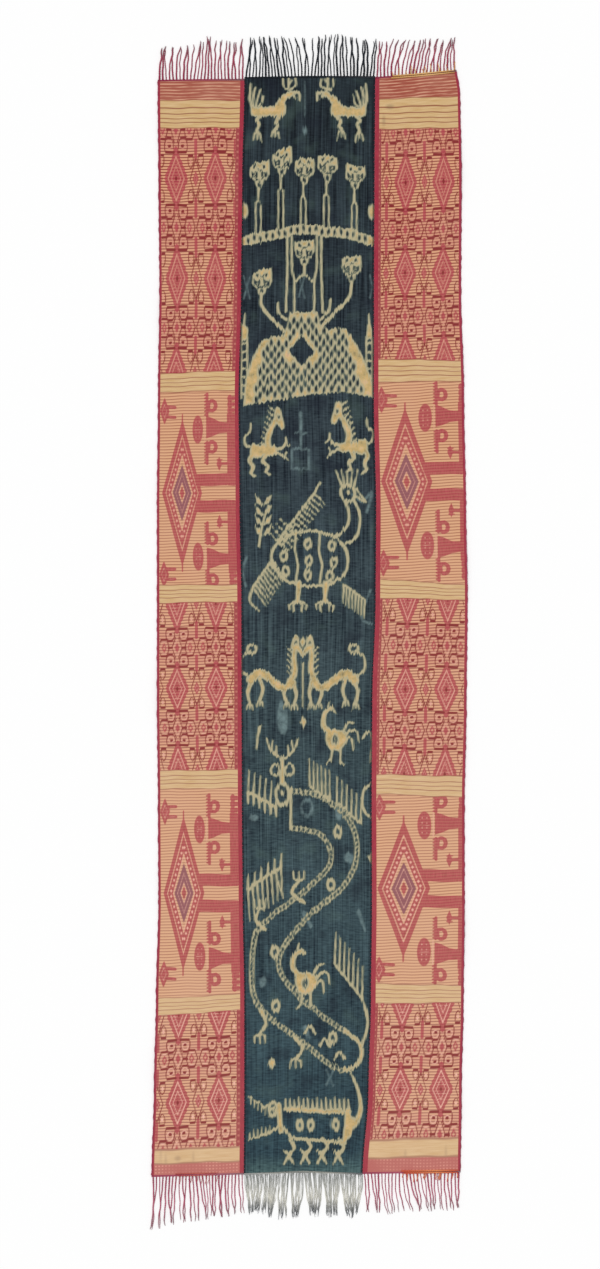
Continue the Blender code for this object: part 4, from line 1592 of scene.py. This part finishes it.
def loose_threads(path, chance, tone):
    """Fine threads of an untwisted lock that fan out a little and gather again near the tip."""
    cords = []
    steps = len(path)
    shares = np.linspace(0, 1, steps)
    for _ in range(LOOSE_THREADS):
        side = chance.uniform(-2.6, 2.6) * MM
        sway = chance.uniform(-1.6, 1.6) * MM
        end_share = chance.uniform(0.84, 1.03)
        points = path.copy()
        waves = chance.uniform(1, 3.5)
        points[:, 0] += side * (1 - 0.55 * smooth(shares)) + sway * np.sin(shares * math.pi * waves)
        points[:, 1] = mix(path[0][1], path[:, 1], end_share)
        radii = chance.uniform(0.30, 0.50) * MM * np.interp(shares, (0, 0.9, 1), (0.9, 1.0, 0.6))
        points[:, 2] = np.maximum(radii * 1.02, chance.uniform(0.4, 1.6) * MM)
        cords.append(Cord(points, radii, chance.choice((0.0, 0.1, 1.0)) * 0.75 + tone * 0.25))
    return cords


def edge_path(plan, end, low, high, beyond, z, count):
    """A path along a panel's end, between shares of its width, its given distance beyond the end."""
    xs, ys = plan.top if end > 0 else plan.bottom
    x = np.linspace(mix(xs[0], xs[-1], low), mix(xs[0], xs[-1], high), count)
    y = np.interp(x, xs, ys) + end * beyond
    return np.column_stack((x, y, np.full(count, z)))


def heading_cords(plan, end, tone):
    """The weft cords that bind a fringe's roots, laid side by side from edge to edge."""
    radius = 0.68 * MM
    return [
        Cord(edge_path(plan, end, 0.0, 1.0, beyond * MM, 0.72 * MM, 120), np.full(120, radius), tone)
        for beyond in (0.75, 1.85, 2.95)
    ]


def add_cords(name, cords, sides_step, material):
    """Makes cords a piece of the cloth."""
    mesh = cord_mesh(name, cords, sides_step)
    mesh.materials.append(material)
    piece = bpy.data.objects.new(name, mesh)
    bpy.context.scene.collection.objects.link(piece)
    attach(piece, BODY)
    return piece


def make_fringe(look, plans, materials):
    """A fringe that follows the strands of its solid."""
    chance = random.Random(look.node)
    plan = plans[look.panel]
    steps = 18 if look.loose else 28
    paths = [smooth_path(path, steps, chance) for path in strand_paths(look.node, plan, look.end)]
    meet_neighbours(paths, chance)
    cords = []
    for path in paths:
        tone = chance.random()
        if look.loose:
            cords += loose_threads(path, chance, tone)
        else:
            radius = look.ply_radius * MM * chance.choice((0.8, 0.95, 1.0, 1.1, 1.3))
            cords += twisted_cords(path, radius, chance.uniform(7, 10) * MM, tone, chance.uniform(0, 6.28))
    cords += heading_cords(plan, look.end, 0.4)
    piece = add_cords(look.node + "_cords", cords, 0 if look.loose else 1, materials[look.yarn])
    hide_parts(look.node)
    return piece


def selvedge_cord(plan, side):
    """The thick outer thread group of a selvedge, drawn in a little at each turn of the weft."""
    line = plan.left if side < 0 else plan.right
    count = 1000
    y = np.linspace(line[0][0], line[0][-1], count)
    share = np.linspace(0, 1, count)
    along = y / MM
    turn = 0.6 * np.sin(along * 2 * math.pi / 23.0 + 3.0 * np.sin(along / 41.0)) + 0.4 * np.sin(along / 9.7)
    x = np.interp(y, *line) + side * (-1.1 + 0.8 * turn) * MM
    radii = (1.4 + 0.15 * turn) * MM
    across = np.full(count, 0.004 if side < 0 else 0.996)
    z = np.maximum(plan.height(across, share) - 0.5 * MM, radii * 1.02)
    return Cord(np.column_stack((x, y, z)), radii, 0.25)


def seam_stitches(plan, side):
    """Whip stitches over the seam at one long edge of the centre panel."""
    line = plan.left if side < 0 else plan.right
    length = line[0][-1] - line[0][0]
    chance = random.Random(side)
    stitches = []
    for number in range(1, int(length / STITCH_PITCH)):
        y = line[0][0] + number * STITCH_PITCH
        share = (y - line[0][0]) / length
        face = float(plan.height(np.array(0.01 if side < 0 else 0.99), np.array(share)))
        x = float(np.interp(y, *line)) + side * 0.15 * MM
        reach = chance.uniform(1.7, 2.3) * MM
        slant = chance.uniform(1.2, 2.2) * MM
        points = np.array([
            (x + part * reach, y + part * slant, face + rise * MM)
            for part, rise in ((-1.0, -0.1), (-0.6, 0.5), (0.0, 0.62), (0.6, 0.5), (1.0, -0.1))
        ])
        stitches.append(Cord(points, np.full(len(points), 0.36 * MM), chance.random() * 0.5))
    return stitches


def twining(plan, end, low, high, radius):
    """Two rows of twined cords with loose ends, along a heading between shares of the panel's width."""
    cords = []
    for row, beyond in enumerate(TWINING_ROWS):
        path = edge_path(plan, end, low + 0.02 * row, high - 0.01 * row, beyond, TWINING_HEIGHT, 120)
        cords += twisted_cords(path, radius, 8.0 * MM, 0.25 * row, 1.5 * row)
    chance = random.Random(low)
    for number in range(LOOSE_ENDS):
        share = mix(low, high, (number + chance.random()) / LOOSE_ENDS)
        root = edge_path(plan, end, share, share + 0.01, 3.2 * MM, 2.6 * MM, 1)[0]
        length = chance.uniform(8, 19) * MM
        lean = chance.uniform(-3, 3) * MM
        points = np.array([
            root + (lean * part + math.sin(part * 5.0) * 0.8 * MM, end * length * part, -1.5 * MM * part)
            for part in np.linspace(0, 1, 8)
        ])
        cords.append(Cord(points, np.full(8, 0.55 * radius), chance.random() * 0.5))
    return cords


# The cloth

panels = {"centre_panel": draw_centre_panel()}
for side_panel in (LEFT_PANEL, RIGHT_PANEL):
    panels[side_panel.node] = draw_side_panel(side_panel)
crimson_cotton = crimson_weave()
indigo_cotton = indigo_ikat()
for name, sheet in panels.items():
    piece = sheet.finish(indigo_cotton if name == "centre_panel" else crimson_cotton)
plans = {name: sheet.plan for name, sheet in panels.items()}

yarns = {
    "crimson_yarn": cotton_yarn("twisted_crimson_cotton_yarn", "#9a3450", "#ad5266", "#84666c"),
    "worn_crimson_yarn": cotton_yarn("worn_crimson_cotton_yarn", "#a84a62", "#c47086", "#94787e"),
    "indigo_yarn": cotton_yarn("twisted_indigo_cotton_yarn", "#171d24", "#20272f", "#3c3e44"),
    "faded_yarn": cotton_yarn("loose_undyed_cotton_threads", "#a6a9a6", "#f2efe2", "#62666c"),
    "selvedge_yarn": cotton_yarn("plied_crimson_selvedge_cotton", "#9c3850", "#a8465c", "#9c3850"),
    "ochre_yarn": cotton_yarn("twined_ochre_cotton_yarn", "#d6a462", "#eec284", "#d6a462"),
    "coral_yarn": cotton_yarn("twined_coral_cotton_yarn", "#b84a46", "#cc6a58", "#b84a46"),
    "orange_yarn": cotton_yarn("twined_orange_cotton_yarn", "#d25c40", "#e8925e", "#d25c40"),
}
FRINGES = (
    FringeLook("top_left_fringe", "left_panel", 1, "crimson_yarn", "crimson_yarn", 1.12, False),
    FringeLook("top_centre_fringe", "centre_panel", 1, "indigo_yarn", "indigo_yarn", 1.2, False),
    FringeLook("top_right_fringe", "right_panel", 1, "crimson_yarn", "crimson_yarn", 1.12, False),
    FringeLook("bottom_left_fringe", "left_panel", -1, "crimson_yarn", "worn_crimson_yarn", 0.96, False),
    FringeLook("bottom_centre_fringe", "centre_panel", -1, "faded_yarn", "faded_yarn", 0.95, True),
    FringeLook("bottom_right_fringe", "right_panel", -1, "crimson_yarn", "worn_crimson_yarn", 0.96, False),
)
for look in FRINGES:
    make_fringe(look, plans, yarns)
for side, side_panel in ((-1, "left_panel"), (1, "right_panel")):
    cord = selvedge_cord(plans[side_panel], side)
    add_cords(side_panel + "_selvedge", [cord], 1, yarns["selvedge_yarn"])
    stitches = seam_stitches(plans["centre_panel"], side)
    add_cords(side_panel + "_seam_stitches", stitches, 0, yarns["selvedge_yarn"])
TWININGS = (
    ("top_right_twining", "right_panel", 1, 0.2, 0.98, 1.5 * MM, "ochre_yarn"),
    ("bottom_right_twining", "right_panel", -1, 0.4, 0.985, 1.7 * MM, "orange_yarn"),
    ("bottom_left_twining", "left_panel", -1, 0.26, 0.72, 0.8 * MM, "coral_yarn"),
)
for name, panel, end, low, high, radius, yarn in TWININGS:
    add_cords(name, twining(plans[panel], end, low, high, radius), 1, yarns[yarn])


# Stage: a pale floor, soft light and a camera straight above

FLOOR_SIZE = 14.0
floor_bm = bmesh.new()
bmesh.ops.create_grid(floor_bm, x_segments=1, y_segments=1, size=FLOOR_SIZE / 2)
floor_mesh = bpy.data.meshes.new("floor")
floor_bm.to_mesh(floor_mesh)
floor_bm.free()
floor = bpy.data.objects.new("floor", floor_mesh)
bpy.context.scene.collection.objects.link(floor)
floor_material = bpy.data.materials.new("white_studio_card")
floor_material.use_nodes = True
floor_shader = floor_material.node_tree.nodes["Principled BSDF"]
floor_shader.inputs["Base Color"].default_value = colour("#fefefe")
floor_shader.inputs["Roughness"].default_value = 1.0
floor_shader.inputs["Specular IOR Level"].default_value = 0.0
floor_mesh.materials.append(floor_material)

SKY_SHARE = 0.62
SUN_TILT = 28.0
world = bpy.data.worlds.new("soft_white_room")
bpy.context.scene.world = world
world.use_nodes = True
world.node_tree.nodes["Background"].inputs["Color"].default_value = (1.0, 1.0, 1.0, 1.0)
world.node_tree.nodes["Background"].inputs["Strength"].default_value = SKY_SHARE
sun = bpy.data.lights.new("soft_box", "SUN")
sun.energy = (1.0 - SKY_SHARE) * math.pi / math.cos(math.radians(SUN_TILT))
sun.angle = math.radians(25)
sun_holder = bpy.data.objects.new("soft_box", sun)
sun_holder.rotation_euler = (math.radians(-SUN_TILT * 0.7), math.radians(-SUN_TILT * 0.7), 0.0)
bpy.context.scene.collection.objects.link(sun_holder)

VIEW_CENTRE = (-0.0176, -0.0053)
VIEW_HEIGHT = 2.538
LENS = 100.0
SENSOR = 36.0
camera_data = bpy.data.cameras.new("camera")
camera_data.lens = LENS
camera_data.sensor_fit = "VERTICAL"
camera_data.sensor_height = SENSOR
camera = bpy.data.objects.new("camera", camera_data)
camera.location = (*VIEW_CENTRE, VIEW_HEIGHT * LENS / SENSOR)
bpy.context.scene.collection.objects.link(camera)
bpy.context.scene.camera = camera
bpy.context.scene.view_settings.view_transform = "Standard"
